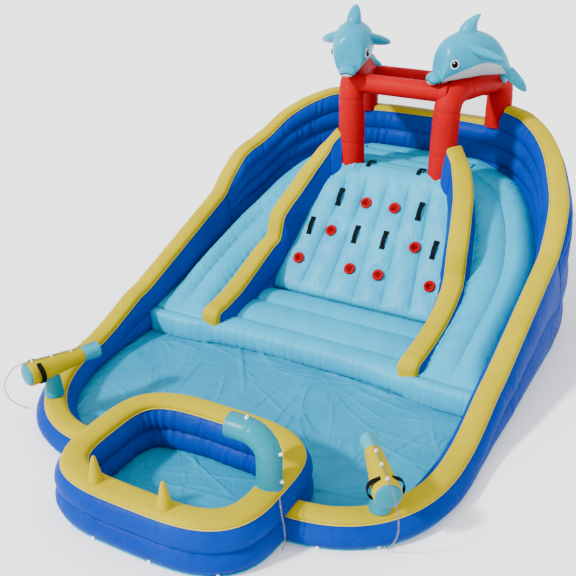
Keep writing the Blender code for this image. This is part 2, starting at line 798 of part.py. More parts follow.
def divider_cap_rings(mirror, grow=0.0):
    return [place_section(p, n, cap_section(divider_cap_half, top + gap, cap_height, grow), side)
            for p, n, top, side in divider_stations(mirror)]


def make_dividers(landing_guide, arch_guides):
    guides = {}
    for side, mirror in (("left", -1.0), ("right", 1.0)):
        divider = keep(loft(side + "_divider", divider_rings(mirror)), "blue")
        boolean(divider, landing_guide)
        cap = keep(loft(side + "_divider_cap", divider_cap_rings(mirror)), "yellow")
        for piece in (divider, cap):
            boolean(piece, arch_guides[side])
        guides[side] = as_cutter(loft(side + "_divider_guide", divider_rings(mirror, gap)))
    return guides


# Slides

def divider_plan_point(depth):
    scale = platform_front_y
    table = [(d * scale, s * scale) for d, s, _ in divider_point_shares]
    if depth > table[-1][0]:
        share = min((depth - table[-1][0]) / (2.03 / 1.985 * scale - table[-1][0]), 1.0)
        return Vector((table[-1][1] + (platform_half - table[-1][1]) * share, depth))
    return Vector((share_at(table, depth), depth))


def slide_rings(mirror):
    climb = platform_height - landing_height
    rows = []
    for k, (outer_depth, inner_depth, outer_height, inner_height) in enumerate(slide_row_shares):
        outer = wall_plan_point(outer_depth * rear_line_y)
        inner = divider_plan_point(inner_depth * rear_line_y)
        if k == 0:
            outer = Vector((platform_half + gap, outer.y))
            inner = Vector((platform_half + gap, inner.y))
        rows.append((outer.to_3d() + Vector((0, 0, landing_height + climb * outer_height)),
                     inner.to_3d() + Vector((0, 0, landing_height + climb * inner_height)), slide_crest_shares[k]))
    outer_line = smooth_line([row[0] for row in rows], 2)
    inner_line = smooth_line([row[1] for row in rows], 2)
    crests = smooth_line([Vector((row[2], 0, 0)) for row in rows], 2)
    low, high = slide_lane_shares
    lanes = [0.0, low] + [low + (high - low) * s for s in (0.12, 0.25, 0.38, 0.5, 0.62, 0.75, 0.88)] + [high, 1.0]
    rings = []
    for outer, inner, crest in zip(outer_line, inner_line, crests):
        outer.x = max(outer.x, platform_half + gap)
        inner.x = max(inner.x, platform_half + gap)
        ring = []
        for lane in lanes:
            point = inner.lerp(outer, lane)
            across = min(max((lane - low) / (high - low), 0.0), 1.0)
            point.z += slide_crest * max(crest.x, 0.0) * abs(math.sin(2 * math.pi * across))
            ring.append(point)
        floor = wall_base()
        ring.append(Vector((outer.x, outer.y, max(outer.z - slide_thickness, floor))))
        ring.append(Vector((inner.x, inner.y, max(inner.z - slide_thickness, floor))))
        rings.append([Vector((mirror * p.x, p.y, p.z)) for p in ring])
    front = landing_end_rear_y + gap
    for point in rings[-1]:
        point.y = front
    return rings


def make_slides(guides, divider_guides, landing_guide):
    for side, mirror in (("left", -1.0), ("right", 1.0)):
        slide = keep(loft(side + "_slide", slide_rings(mirror)), "cyan")
        cutters = guides[side] + guides["back"] + [divider_guides[side], landing_guide]
        for cutter in cutters:
            boolean(slide, cutter)


# Arch frame

def arch_line(mirror):
    foot = Vector((front_column_x, platform_front_y, column_foot_height))
    lean = Vector((front_column_lean, 0.0, arch_height - column_foot_height))
    rear_y = back_point(back_share_at(rear_column_x)).y
    top_front = foot + lean
    top_rear = Vector((rear_column_x, rear_y, arch_height))
    run = (top_rear - top_front).normalized()
    points = [foot, foot + lean * 0.5]
    for corner, before, after in ((top_front, -lean.normalized(), run), (top_rear, -run, Vector((0, 0, -1)))):
        start = corner + before * arch_bend
        end = corner + after * arch_bend
        for i in range(5):
            t = i / 4
            points.append(start * (1 - t) ** 2 + corner * 2 * t * (1 - t) + end * t * t)
    points.append(Vector((rear_column_x, rear_y, back_wall_height + gap)))
    return [Vector((mirror * p.x, p.y, p.z)) for p in points]


def make_arches(climb_guide, platform_guide):
    guides = {}
    for side, mirror in (("left", -1.0), ("right", 1.0)):
        line = arch_line(mirror)
        arch = keep(solid_tube(side + "_arch", line, column_radius), "red")
        boolean(arch, climb_guide)
        boolean(arch, platform_guide)
        longer = line[:-1] + [line[-1] - Vector((0, 0, gap))]
        guides[side] = as_cutter(solid_tube(side + "_arch_guide", longer, column_radius + gap))
    return guides


def make_beams(arch_guides):
    rear_y = back_point(back_share_at(rear_column_x)).y
    front_x = front_column_x + front_column_lean * (front_beam_height - column_foot_height) / (
        arch_height - column_foot_height)
    beams = []
    for name, half, depth, height in (("front_beam", front_x, platform_front_y, front_beam_height),
                                      ("rear_beam", rear_column_x, rear_y, rear_beam_height)):
        beam = keep(solid_tube(name, [Vector((-half, depth, height)), Vector((half, depth, height))],
                               beam_radius), "red")
        for guide in arch_guides.values():
            boolean(beam, guide)
        beams.append(beam)
    guide_line = [Vector((-front_x, platform_front_y, front_beam_height)),
                  Vector((front_x, platform_front_y, front_beam_height))]
    return as_cutter(solid_tube("front_beam_guide", guide_line, beam_radius + gap))


def make_net():
    """A flat net between the rear columns, from the back wall's cap to the rear beam."""
    rear_y = back_point(back_share_at(rear_column_x)).y
    half = rear_column_x - column_radius - gap * 2
    low = back_wall_height + cap_height + gap * 2
    high = rear_beam_height - beam_radius - gap
    bm = bmesh.new()
    xs = [-half]
    for i in range(net_columns):
        xs.append(-half + 2 * half * i / net_columns + net_bar)
        xs.append(-half + 2 * half * (i + 1) / net_columns)
    xs.append(half + net_bar)
    zs = [low]
    for i in range(net_rows):
        zs.append(low + (high - low - net_bar) * i / net_rows + net_bar)
        zs.append(low + (high - low - net_bar) * (i + 1) / net_rows)
    zs.append(high)
    xs = [x - net_bar / 2 for x in xs]
    xs[0] = -half
    xs[-1] = half
    grid = [[bm.verts.new((x, rear_y, z)) for x in xs] for z in zs]
    for row in range(len(zs) - 1):
        for column in range(len(xs) - 1):
            if row % 2 == 1 and column % 2 == 1:
                continue
            bm.faces.new((grid[row][column], grid[row][column + 1], grid[row + 1][column + 1], grid[row + 1][column]))
    net = mesh_object("back_net", bm)
    thick = net.modifiers.new("thickness", "SOLIDIFY")
    thick.thickness = net_thickness
    thick.offset = 0.0
    return keep(net, "net")


# Dolphins

def dolphin_frame(spec):
    """The place of a dolphin's middle over its arch, its belly sunk a little into the arch's top."""
    turn = Matrix.Rotation(math.radians(-spec["heading"]), 4, "Z")
    _, middle, _, half_height = dolphin_body_shares[7]
    lowest = (half_height - middle) * dolphin_length
    side = spec["side"] * (front_column_x + front_column_lean + spec["outward"])
    height = arch_height + column_radius + lowest - spec["seat_depth"]
    return Matrix.Translation((side, platform_front_y + spec["set_back"], height)) @ turn


def dolphin_body_rings(grow=0.0):
    """Rings along the body; the local -Y is forward."""
    rings = []
    sides = 14
    for forward, height, half_width, half_height in dolphin_body_shares:
        ring = []
        for i in range(sides):
            turn = 2 * math.pi * i / sides
            x = (half_width * dolphin_length + grow) * math.cos(turn)
            z = height * dolphin_length + (half_height * dolphin_length + grow) * math.sin(turn)
            ring.append(Vector((x, -forward * dolphin_length, z)))
        rings.append(ring)
    return rings


def blade(name, root, tip, root_chord, tip_chord, thickness, chord_axis, bend):
    """A soft fin: flat oval sections from root to tip, swept along a bend."""
    rings = []
    axis = Vector(chord_axis).normalized()
    root = Vector(root)
    tip = Vector(tip)
    for share, fullness in ((0.0, 1.0), (0.35, 0.86), (0.65, 0.62), (0.88, 0.36), (1.0, 0.12)):
        centre = root.lerp(tip, share) + Vector(bend) * share * share
        span = (tip - root).normalized()
        thin = axis.cross(span).normalized()
        chord = root_chord * fullness + tip_chord * share
        ring = []
        for i in range(8):
            turn = 2 * math.pi * i / 8
            ring.append(centre + axis * chord / 2 * math.cos(turn) + thin * thickness * fullness / 2 * math.sin(turn))
        rings.append(ring)
    return loft(name, rings)


def make_dolphin(side, spec, seat_guides):
    size = dolphin_length
    frame = dolphin_frame(spec)
    body = loft(side + "_dolphin", dolphin_body_rings())
    fin = blade("fin_guide", (0, 0.00 * size, 0.17 * size), (0, 0.14 * size, 0.40 * size), 0.24 * size, 0.03 * size,
                0.07 * size, (0, 1, 0.1), (0, 0.04 * size, 0))
    tail = (0, 0.475 * size, -0.205 * size)
    flukes = [blade("fluke_guide", tail, (sign * 0.17 * size, 0.60 * size, -0.33 * size), 0.13 * size, 0.03 * size,
                    0.045 * size, (0, 1, -0.75), (0, 0.02 * size, 0)) for sign in (-1.0, 1.0)]
    for piece in [fin] + flukes:
        piece.matrix_world = frame
        boolean(body, as_cutter(piece), "UNION")
    body.matrix_world = frame
    keep(body, "dolphin")
    for guide in seat_guides:
        boolean(body, guide)
    body_guide = as_cutter(loft(side + "_dolphin_guide", dolphin_body_rings(gap)))
    body_guide.matrix_world = frame
    for name, sign in (("inner", 1.0), ("outer", -1.0)):
        sign = sign if side == "left" else -sign
        flipper = blade(side + "_dolphin_" + name + "_flipper", (sign * 0.14 * size, -0.03 * size, 0.03 * size),
                        (sign * 0.335 * size, 0.26 * size, -0.06 * size), 0.21 * size, 0.03 * size, 0.07 * size,
                        (-0.1 * sign, 1, -0.1), (0, 0.05 * size, -0.02 * size))
        flipper.matrix_world = frame
        keep(flipper, "dolphin")
        boolean(flipper, body_guide)
        for guide in seat_guides:
            boolean(flipper, guide)


# Webbing

def webbing(name, profile, width, thickness, frame):
    """A flat strap: a profile in the local XZ plane, given width along Y and thickness outward."""
    bm = bmesh.new()
    rows = [[bm.verts.new((x, y, z)) for x, z in profile] for y in (-width / 2, width / 2)]
    for i in range(len(profile) - 1):
        bm.faces.new((rows[0][i], rows[0][i + 1], rows[1][i + 1], rows[1][i]))
    strap = mesh_object(name, bm)
    thick = strap.modifiers.new("thickness", "SOLIDIFY")
    thick.thickness = thickness
    thick.offset = 0.0
    strap.matrix_world = frame
    return strap


def bowed_profile(length, stand_off, foot, thickness):
    """Two flat feet and a bow between them."""
    half = length / 2
    lift = thickness / 2 + gap
    return [(-half, lift), (-half + foot, lift), (-half + foot * 1.45, stand_off * 0.62), (-half * 0.25, stand_off),
            (half * 0.25, stand_off), (half - foot * 1.45, stand_off * 0.62), (half - foot, lift), (half, lift)]


def make_climb_straps(climb_guide, seat_guides):
    up_slope = (climb_point(0, 1) - climb_point(0, 0)).normalized()
    out = (climb_point(0, 0, 1.0) - climb_point(0, 0)).normalized()
    across = Vector((1.0, 0.0, 0.0))
    lean = Matrix((up_slope, -across, out)).transposed().to_4x4()
    for number, (side, up) in enumerate(strap_shares, start=1):
        frame = Matrix.Translation(climb_point(side, up)) @ lean
        strap = keep(webbing(f"climbing_strap_{number}", bowed_profile(strap_length, strap_stand_off, strap_foot,
                             strap_thickness), strap_width, strap_thickness, frame), "black")
        boolean(strap, climb_guide)
    for side, mirror in (("left", -1.0), ("right", 1.0)):
        place = Vector((mirror * edge_strap_x, climb_top_y + edge_strap_length * 0.55, platform_lip_height))
        flat = Matrix((Vector((0, 1, 0)), Vector((-1, 0, 0)), Vector((0, 0, 1)))).transposed().to_4x4()
        profile = bowed_profile(edge_strap_length, strap_stand_off, strap_foot, strap_thickness)
        strap = keep(webbing(side + "_edge_strap", profile, strap_width, strap_thickness,
                             Matrix.Translation(place) @ flat), "black")
        for guide in seat_guides:
            boolean(strap, guide)


# Water cannons

def turned(name, profile, frame, sides=16):
    """A turned solid: rings of radius and distance along the local Z axis, its ends flat."""
    rings = []
    for radius, along in profile:
        rings.append([Vector((radius * math.cos(2 * math.pi * i / sides), radius * math.sin(2 * math.pi * i / sides),
                              along)) for i in range(sides)])
    obj = loft(name, rings)
    obj.matrix_world = frame
    return obj


def cannon_pivot(spec):
    side = spec["side"] * (wall_half_span - spec["inset"])
    return Vector((side, corner_y(spec["corner"], side), barrel_height))


def cannon_directions(spec):
    """Level directions of a cannon: along its barrel, and across it."""
    heading = math.radians(spec["heading"])
    forward = Vector((-math.sin(heading), math.cos(heading), 0.0))
    return forward, Vector((forward.y, -forward.x, 0.0))


def grip_profile():
    """A strap round the barrel's side, as height and distance out from the barrel's axis."""
    seat = barrel_rear_radius + (barrel_front_radius - barrel_rear_radius) * grip_place_share
    profile = []
    for angle, lift in grip_angles:
        turn = math.radians(angle)
        reach = seat + grip_thickness + gap + grip_stand_off * lift
        profile.append((reach * math.sin(turn), reach * math.cos(turn)))
    return profile


def make_cannon(side, spec):
    pivot = cannon_pivot(spec)
    forward, across = cannon_directions(spec)
    foot = front_wall_height + cap_height + gap * 3
    aim = Matrix((across, across.cross(forward) * -1, forward)).transposed()
    frame = Matrix.Translation(pivot) @ aim.to_4x4()
    stand = Matrix.Translation((pivot.x, pivot.y, 0.0))
    post_bearing = bpy.data.objects.new(side + "_post_bearing", None)
    post_bearing.location = (pivot.x, pivot.y, foot)
    barrel_pivot = bpy.data.objects.new(side + "_barrel_pivot", None)
    barrel_pivot.location = pivot
    for empty in (post_bearing, barrel_pivot):
        parts_collection.objects.link(empty)
    bpy.context.view_layer.update()
    radius_here = barrel_rear_radius + (barrel_front_radius - barrel_rear_radius) * barrel_rear_reach / barrel_length
    post_top = barrel_height - radius_here - post_clearance
    post_profile = [(post_radius * 1.04, foot), (post_radius, foot + (post_top - foot) * 0.2),
                    (post_top_radius, foot + (post_top - foot) * 0.75), (post_top_radius * 0.8, post_top)]
    pieces = [(turned(side + "_cannon_post", post_profile, stand), post_bearing, "turquoise")]
    rear = -barrel_rear_reach
    front = rear + barrel_length
    edge = barrel_length * 0.06
    barrel_profile = [(barrel_rear_radius * 0.94, rear), (barrel_rear_radius, rear + edge),
                      (barrel_front_radius * 1.05, front - edge), (barrel_front_radius * 0.95, front)]
    pieces.append((turned(side + "_cannon_barrel", barrel_profile, frame), barrel_pivot, "yellow"))
    cap_profile = [(barrel_rear_radius * 0.93, rear - gap), (barrel_rear_radius * 0.93, rear - rear_cap_thickness * 0.35),
                   (barrel_rear_radius * 0.74, rear - rear_cap_thickness * 0.8),
                   (barrel_rear_radius * 0.25, rear - rear_cap_thickness)]
    pieces.append((turned(side + "_cannon_rear_cap", cap_profile, frame), barrel_pivot, "turquoise"))
    start = front + gap
    end = start + nozzle_length
    nozzle_profile = [(barrel_front_radius * 0.95, start), (barrel_front_radius * 1.02, start + nozzle_length * 0.15),
                      (nozzle_radius, end - nozzle_length * 0.12), (nozzle_radius * 0.93, end), (nozzle_bore, end),
                      (nozzle_bore * 0.86, end - nozzle_bore_depth)]
    pieces.append((turned(side + "_cannon_nozzle", nozzle_profile, frame), barrel_pivot, "turquoise"))
    for name, sign in (("left", -1.0), ("right", 1.0)):
        turn = Matrix(((0, 0, sign), (1, 0, 0), (0, sign, 0))).to_4x4()
        seat = frame @ Matrix.Translation((0.0, 0.0, rear + barrel_length * grip_place_share)) @ turn
        grip = webbing(f"{side}_cannon_{name}_handle", grip_profile(), grip_width, grip_thickness, seat)
        pieces.append((grip, barrel_pivot, "black"))
    for piece, parent, colour in pieces:
        world = piece.matrix_world.copy()
        keep(piece, colour)
        piece.parent = parent
        piece.matrix_parent_inverse = parent.matrix_world.inverted()
        piece.matrix_world = world
    guide_profile = [(radius + gap, along) for radius, along in barrel_profile]
    guide_profile[0] = (guide_profile[0][0], rear - gap)
    guide_profile[-1] = (guide_profile[-1][0], front + gap)
    barrel_guide = as_cutter(turned(side + "_barrel_guide", guide_profile, frame))
    for piece, _, colour in pieces:
        if colour == "black":
            boolean(piece, barrel_guide)


# Small pool's fittings, hoses and sleeve

def make_elbow(rim_guide):
    base = Vector((elbow_place[0], elbow_place[1], small_pool_height))
    corner = base + Vector((0, 0, elbow_rise + elbow_bend))
    line = [base, base + Vector((0, 0, elbow_rise))]
    for i in range(1, 7):
        turn = math.radians(15 * i)
        line.append(corner + Vector((-elbow_bend + elbow_bend * math.cos(turn), 0,
                                     -elbow_bend + elbow_bend * math.sin(turn))))
    line.append(line[-1] + Vector((-elbow_reach, 0, 0)))
    elbow = keep(solid_tube("spray_elbow", line, elbow_radius), "turquoise")
    boolean(elbow, rim_guide)
    bore_line = [line[-3], line[-2], line[-1] - Vector((overrun, 0, 0))]
    bore = as_cutter(solid_tube("elbow_bore", bore_line, elbow_bore, 10))
    boolean(elbow, bore)


def make_cones(rim_guide):
    for number, side in enumerate(cone_sides, start=1):
        depth = small_pool_centre[1] - small_pool_half[1]
        frame = Matrix.Translation((side, depth, small_pool_height + cap_height * 0.5))
        height = cone_height + cap_height * 0.5
        cone = turned(f"rim_cone_{number}", [(cone_radius, 0.0), (cone_radius * 0.72, height * 0.40),
                      (cone_radius * 0.42, height * 0.78), (cone_radius * 0.12, height)], frame, 12)
        keep(cone, "yellow")
        boolean(cone, rim_guide)


def make_sleeve(guides):
    """Inflation sleeve at the back, open at its end, lying on the ground."""
    share = back_share_at(sleeve_side)
    start = back_point(share)
    centre_height = sheet_thickness + gap + sleeve_radius
    out = Vector((0.35, 1.0, 0.0)).normalized()
    begin = Vector((start.x, start.y, centre_height)) + out * wall_seam_half * 0.2
    end = begin + out * (sleeve_length + wall_seam_half)
    sleeve = keep(solid_tube("inflation_sleeve", [begin, end], sleeve_radius, 14), "blue")
    bore_start = begin + out * (wall_seam_half * 2)
    bore = as_cutter(solid_tube("sleeve_bore", [bore_start, end + out * overrun], sleeve_radius - sleeve_wall, 14))
    boolean(sleeve, bore)
    boolean(sleeve, guides["right"][1])
    return sleeve


# Hoses: over each barrel as distance along it, distance across it and height; the elbow's hose as plain points
right_hose_route = ((0.390, 0.0, 0.5495), (0.241, 0.0, 0.550), (0.100, 0.0, 0.559), (0.0, 0.0, 0.567),
                    (-0.100, 0.0, 0.575), (-0.172, 0.0, 0.581), (-0.246, 0.001, 0.581), (-0.306, 0.008, 0.555),
                    (-0.334, 0.022, 0.480), (-0.335, 0.036, 0.375), (-0.316, 0.041, 0.270), (-0.275, 0.034, 0.180),
                    (-0.227, 0.027, 0.095), (-0.184, 0.025, 0.038), (-0.135, 0.025, 0.0202))
left_hose_route = ((0.390, 0.0, 0.5495), (0.240, 0.0, 0.550), (0.100, 0.0, 0.559), (0.0, 0.0, 0.567),
                   (-0.100, 0.0, 0.575), (-0.172, 0.0, 0.581), (-0.245, -0.003, 0.581), (-0.302, -0.016, 0.555),
                   (-0.335, -0.051, 0.490), (-0.343, -0.111, 0.395), (-0.323, -0.161, 0.300), (-0.295, -0.177, 0.220),
                   (-0.255, -0.155, 0.165), (-0.210, -0.114, 0.135), (-0.178, -0.085, 0.120))
elbow_hose_route = ((0.907, -1.930, 0.365), (0.950, -1.985, 0.310), (0.992, -2.020, 0.210), (0.992, -2.020, 0.100),
                    (0.965, -2.000, 0.022))


def make_hose(name, route):
    line = smooth_line([Vector(p) for p in route], 2)
    hose = tube(name, line, hose_radius, 8)
    keep(hose, "hose")


def cannon_route(spec, route):
    pivot = cannon_pivot(spec)
    forward, across = cannon_directions(spec)
    base = Vector((pivot.x, pivot.y, 0.0))
    return [base + forward * along + across * aside + Vector((0, 0, height)) for along, aside, height in route]


def main():
    make_ground_sheet()
    guides = make_walls()
    landing_guide, mat, climb, platform, climb_guide, platform_guide = make_landing_and_climb(guides)
    arch_guides = make_arches(climb_guide, platform_guide)
    divider_guides = make_dividers(landing_guide, arch_guides)
    for side in ("left", "right"):
        boolean(mat, divider_guides[side])
        boolean(climb, divider_guides[side])
        boolean(platform, divider_guides[side])
    make_back_cap(arch_guides.values())
    make_slides(guides, divider_guides, landing_guide)
    beam_guide = make_beams(arch_guides)
    make_net()
    make_dolphin("left", left_dolphin, [arch_guides["left"], beam_guide])
    make_dolphin("right", right_dolphin, [arch_guides["right"], beam_guide])
    make_climb_straps(climb_guide, [climb_guide, platform_guide])
    make_cannon("left", left_cannon)
    make_cannon("right", right_cannon)
    make_elbow(guides["rim"])
    make_cones(guides["rim"])
    make_sleeve(guides)
    make_hose("left_cannon_hose", cannon_route(left_cannon, left_hose_route))
    make_hose("right_cannon_hose", cannon_route(right_cannon, right_hose_route))
    make_hose("elbow_hose", elbow_hose_route)


main()
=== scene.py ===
import math

import bmesh
import bpy
import numpy as np
from mathutils import Matrix, Vector


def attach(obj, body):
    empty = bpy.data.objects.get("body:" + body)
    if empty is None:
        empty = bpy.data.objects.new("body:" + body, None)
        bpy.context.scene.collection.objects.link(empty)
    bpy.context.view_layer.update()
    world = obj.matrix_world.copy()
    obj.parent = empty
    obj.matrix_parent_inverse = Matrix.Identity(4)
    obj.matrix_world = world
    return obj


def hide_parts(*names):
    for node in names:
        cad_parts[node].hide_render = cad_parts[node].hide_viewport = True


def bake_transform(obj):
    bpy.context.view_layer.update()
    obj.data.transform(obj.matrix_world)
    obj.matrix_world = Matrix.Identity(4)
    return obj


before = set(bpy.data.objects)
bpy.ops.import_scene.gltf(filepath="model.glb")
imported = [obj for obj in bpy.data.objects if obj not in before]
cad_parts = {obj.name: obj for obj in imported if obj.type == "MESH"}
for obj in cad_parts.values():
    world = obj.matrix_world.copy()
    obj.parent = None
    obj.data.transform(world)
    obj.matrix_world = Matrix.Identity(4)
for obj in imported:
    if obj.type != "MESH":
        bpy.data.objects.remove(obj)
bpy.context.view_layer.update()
print("frame loaded")

# camera, floor and light
view = {"place": (3.201, -5.991, 4.091), "turn": 28.81, "tilt": 25.75, "lens": 57.36, "sensor": 36.0, "reach": 300.0}
light = {"sky": (0.95, 0.97, 1.0), "skyStrength": 1.9, "sunFrom": (-0.447, -0.66, 0.604), "sunStrength": 6.8,
         "sunSize": 5.0}
ground = {"size": 160.0, "height": -0.001, "colour": (0.92, 0.92, 0.92), "roughness": 0.9}


def addObject(name, data):
    thing = bpy.data.objects.new(name, data)
    bpy.context.scene.collection.objects.link(thing)
    return thing


def feed(node, values):
    # set the inputs of a shader node, and link those whose value is another node's output
    for key, value in values.items():
        if isinstance(value, bpy.types.NodeSocket):
            node.id_data.links.new(value, node.inputs[key])
        else:
            node.inputs[key].default_value = value


def setUpView():
    lens = bpy.data.cameras.new("viewCamera")
    lens.lens, lens.sensor_width, lens.clip_end = view["lens"], view["sensor"], view["reach"]
    camera = addObject("viewCamera", lens)
    camera.location = view["place"]
    camera.rotation_euler = (math.radians(90 - view["tilt"]), 0.0, math.radians(view["turn"]))
    bpy.context.scene.camera = camera

    world = bpy.data.worlds.new("softSky")
    world.use_nodes = True
    feed(world.node_tree.nodes["Background"], {"Color": (*light["sky"], 1.0), "Strength": light["skyStrength"]})
    bpy.context.scene.world = world

    sun = bpy.data.lights.new("keyLight", "SUN")
    sun.energy, sun.angle = light["sunStrength"], math.radians(light["sunSize"])
    addObject("keyLight", sun).rotation_euler = Vector(light["sunFrom"]).to_track_quat("Z", "Y").to_euler()

    bpy.ops.mesh.primitive_plane_add(size=ground["size"], location=(0.0, 0.0, ground["height"]))
    floor = bpy.context.object
    floor.name = "paleFloor"
    paint = bpy.data.materials.new("paleFloor")
    paint.use_nodes = True
    feed(paint.node_tree.nodes["Principled BSDF"],
         {"Base Color": (*ground["colour"], 1.0), "Roughness": ground["roughness"]})
    floor.data.materials.append(paint)


setUpView()
print("camera, light and floor set")

# coated fabric and the other finishes: slot, light colour, dark colour, roughness, crease, shine
finishes = {
    "cyan": ("cyan_vinyl", (0, 0.320, 0.490), (0, 0.250, 0.420), 0.40, 0.24, 0.12),
    "poolCyan": ("cyan_vinyl", (0, 0.225, 0.365), (0, 0.170, 0.305), 0.34, 0.5, 0.07),
    "blue": ("blue_vinyl", (0, 0.033, 0.250), (0, 0.021, 0.200), 0.40, 0.35, 0.03),
    "yellow": ("yellow_vinyl", (0.380, 0.300, 0), (0.330, 0.250, 0), 0.45, 0.2, 0.02),
    "piping": ("yellow_vinyl", (0.480, 0.400, 0.030), (0.420, 0.340, 0.020), 0.45, 0.1, 0.1),
    "red": ("red_vinyl", (0.350, 0, 0.004), (0.290, 0, 0.002), 0.50, 0.3, 0.04),
    "turquoise": ("turquoise_vinyl", (0, 0.190, 0.250), (0, 0.140, 0.195), 0.32, 0.3, 0.16),
    "paleTurquoise": ("turquoise_vinyl", (0.010, 0.290, 0.380), (0.004, 0.240, 0.330), 0.34, 0.3, 0.2),
    "dolphin": ("dolphin_vinyl", (0, 0.270, 0.390), (0, 0.190, 0.310), 0.27, 0.2, 0.18),
    "belly": ("dolphin_vinyl", (0.400, 0.420, 0.440), (0.320, 0.340, 0.365), 0.36, 0.2, 0.2),
    "holdRed": ("red_vinyl", (0.310, 0, 0.003), (0.200, 0, 0.002), 0.50, 0.5, 0.03),
    # painted shade: a dark red for the fold troughs in the middle of each hold
    "holdFoldShade": ("red_vinyl", (0.100, 0, 0.001), (0.050, 0, 0.001), 0.6, 0.3, 0.05),
    "webbing": ("webbing", (0.005, 0.005, 0.006), (0.002, 0.002, 0.002), 0.72, 0, 0.03),
    "net": ("netting", (0.180, 0.175, 0.170), (0.140, 0.135, 0.130), 0.70, 0, 0.1),
    "hose": ("hose", (0.110, 0.110, 0.115), (0.110, 0.110, 0.115), 0.20, 0, 0.5),
    "clip": ("hose", (0.780, 0.780, 0.770), (0.700, 0.700, 0.690), 0.30, 0, 0.3),
    "eyeWhite": ("dolphin_vinyl", (0.800, 0.810, 0.820), (0.740, 0.750, 0.760), 0.25, 0, 0.3),
    "eyeBlack": ("dolphin_vinyl", (0.002, 0.002, 0.003), (0.001, 0.001, 0.001), 0.45, 0, 0.05)}
cloth = {"patchScale": 2.2, "mottleScale": 34.0, "weaveScale": 520.0, "weaveBump": 0.00018, "weaveStrength": 0.35,
         "creaseScale": 3.4, "creaseBump": 0.0035, "softScale": 2.6, "softBump": 0.010, "seeThrough": {"hose": 0.40}}
made = {}


def finishMaterial(name):
    if name in made:
        return made[name]
    bright, dark, roughness, crease, shine = finishes[name][1:]
    material = made[name] = bpy.data.materials.new(name)
    material.use_nodes = True
    tree = material.node_tree

    def node(kind, output, values, **settings):
        # add a node and return one of its outputs
        new = tree.nodes.new("ShaderNode" + kind)
        for key, value in settings.items():
            setattr(new, key, value)
        feed(new, values)
        return new.outputs[output]

    def noise(scale, detail, distortion=0.0):
        return node("TexNoise", "Fac", {"Scale": scale, "Detail": detail, "Distortion": distortion, "Vector": place})

    def spread(source, low, high, fromLow=0.3, fromHigh=0.7):
        return node("MapRange", "Result", {"Value": source, "From Min": fromLow, "From Max": fromHigh,
                                           "To Min": low, "To Max": high})

    place = node("TexCoord", "Object", {})
    mottle = noise(cloth["mottleScale"], 3.0)
    both = node("Math", "Value", {0: spread(noise(cloth["patchScale"], 4.0, 0.4), 0.0, 0.75),
                                  1: spread(mottle, 0.0, 0.25)}, operation="ADD")
    tint = node("Mix", "Result", {"A": (*dark, 1.0), "B": (*bright, 1.0), "Factor": both}, data_type="RGBA")

    # weave, then creases and soft dents in the fabric
    weave = node("TexWave", "Fac", {"Scale": cloth["weaveScale"], "Distortion": 0.6, "Vector": place},
                 bands_direction="DIAGONAL")
    strength = cloth["weaveStrength"] if crease or name in ("webbing", "net") else 0.04
    normal = node("Bump", "Normal", {"Strength": strength, "Distance": cloth["weaveBump"], "Height": weave})
    if crease:
        middle = node("Math", "Value", {0: noise(cloth["creaseScale"], 2.0, 0.7), 1: 0.5}, operation="SUBTRACT")
        ridge = node("Math", "Value", {0: middle}, operation="ABSOLUTE")
        for distance, height in ((cloth["creaseBump"], spread(ridge, 0.0, 1.0, 0.0, 0.05)),
                                 (cloth["softBump"], noise(cloth["softScale"], 2.0))):
            normal = node("Bump", "Normal", {"Strength": crease, "Distance": distance, "Height": height,
                                             "Normal": normal})
    feed(tree.nodes["Principled BSDF"], {
        "Base Color": tint, "Roughness": spread(mottle, roughness - 0.05, roughness + 0.08),
        "Specular IOR Level": shine, "Alpha": cloth["seeThrough"].get(name, 1.0), "Normal": normal})
    return material


# helpers: profiles, seeded ripples, lines and meshes
sides = {"left": -1.0, "right": 1.0}


def within(value):
    return np.clip(value, 0, 1)


def peak(offset, width):
    return np.exp(-(offset / width) ** 2)


def fade(offset, width):
    return np.exp(-offset / width)


def circle(count):
    return np.linspace(0, 2 * math.pi, count, endpoint=False)


def unit(vectors):
    vectors = np.asarray(vectors, float)
    if vectors.ndim == 1:
        return vectors / np.linalg.norm(vectors)
    return vectors / np.linalg.norm(vectors, axis=1)[:, None]


def joined(*parts):
    # points from the numbers of each column; a single number fills its column
    return np.stack(np.broadcast_arrays(*parts), -1)


def axes(x, y, z, place):
    # matrix of a local frame with these directions at a place
    return Matrix.Translation(Vector(place)) @ Matrix((Vector(x), Vector(y), Vector(z))).transposed().to_4x4()


def placed(rings, matrix):
    turned = np.array(matrix)
    return np.asarray(rings) @ turned[:3, :3].T + turned[:3, 3]


def ripple(points, wavelength, seed, terms=8):
    # sum of sine waves over points in metres, about -1 to 1
    draw = np.random.default_rng(seed)
    points = np.asarray(points, float)
    points = points.reshape(len(points), -1)
    total = np.zeros(len(points))
    for _ in range(terms):
        heading = draw.normal(size=points.shape[1])
        heading /= np.linalg.norm(heading)
        length = wavelength * draw.uniform(0.65, 1.5)
        total += np.sin(points @ heading * (2 * math.pi / length) + draw.uniform(0, 2 * math.pi))
    return total / math.sqrt(terms)


def gridRipple(gridX, gridY, wavelength, seed):
    return ripple(joined(gridX, gridY).reshape(-1, 2), wavelength, seed).reshape(gridX.shape)


def puckers(along, wavelength, seed, sharp=2.0):
    # 0 to 1 along a seam, with narrow peaks
    return within(0.5 + 0.6 * ripple(along, wavelength, seed, 10)) ** sharp


def lengthAlong(points):
    return np.concatenate([[0], np.cumsum(np.linalg.norm(np.diff(points, axis=0), axis=1))])


def evenly(points, count):
    points = np.asarray(points, float)
    run = lengthAlong(points)
    at = np.linspace(0, run[-1], count)
    return np.stack([np.interp(at, run, points[:, k]) for k in range(points.shape[1])], 1)


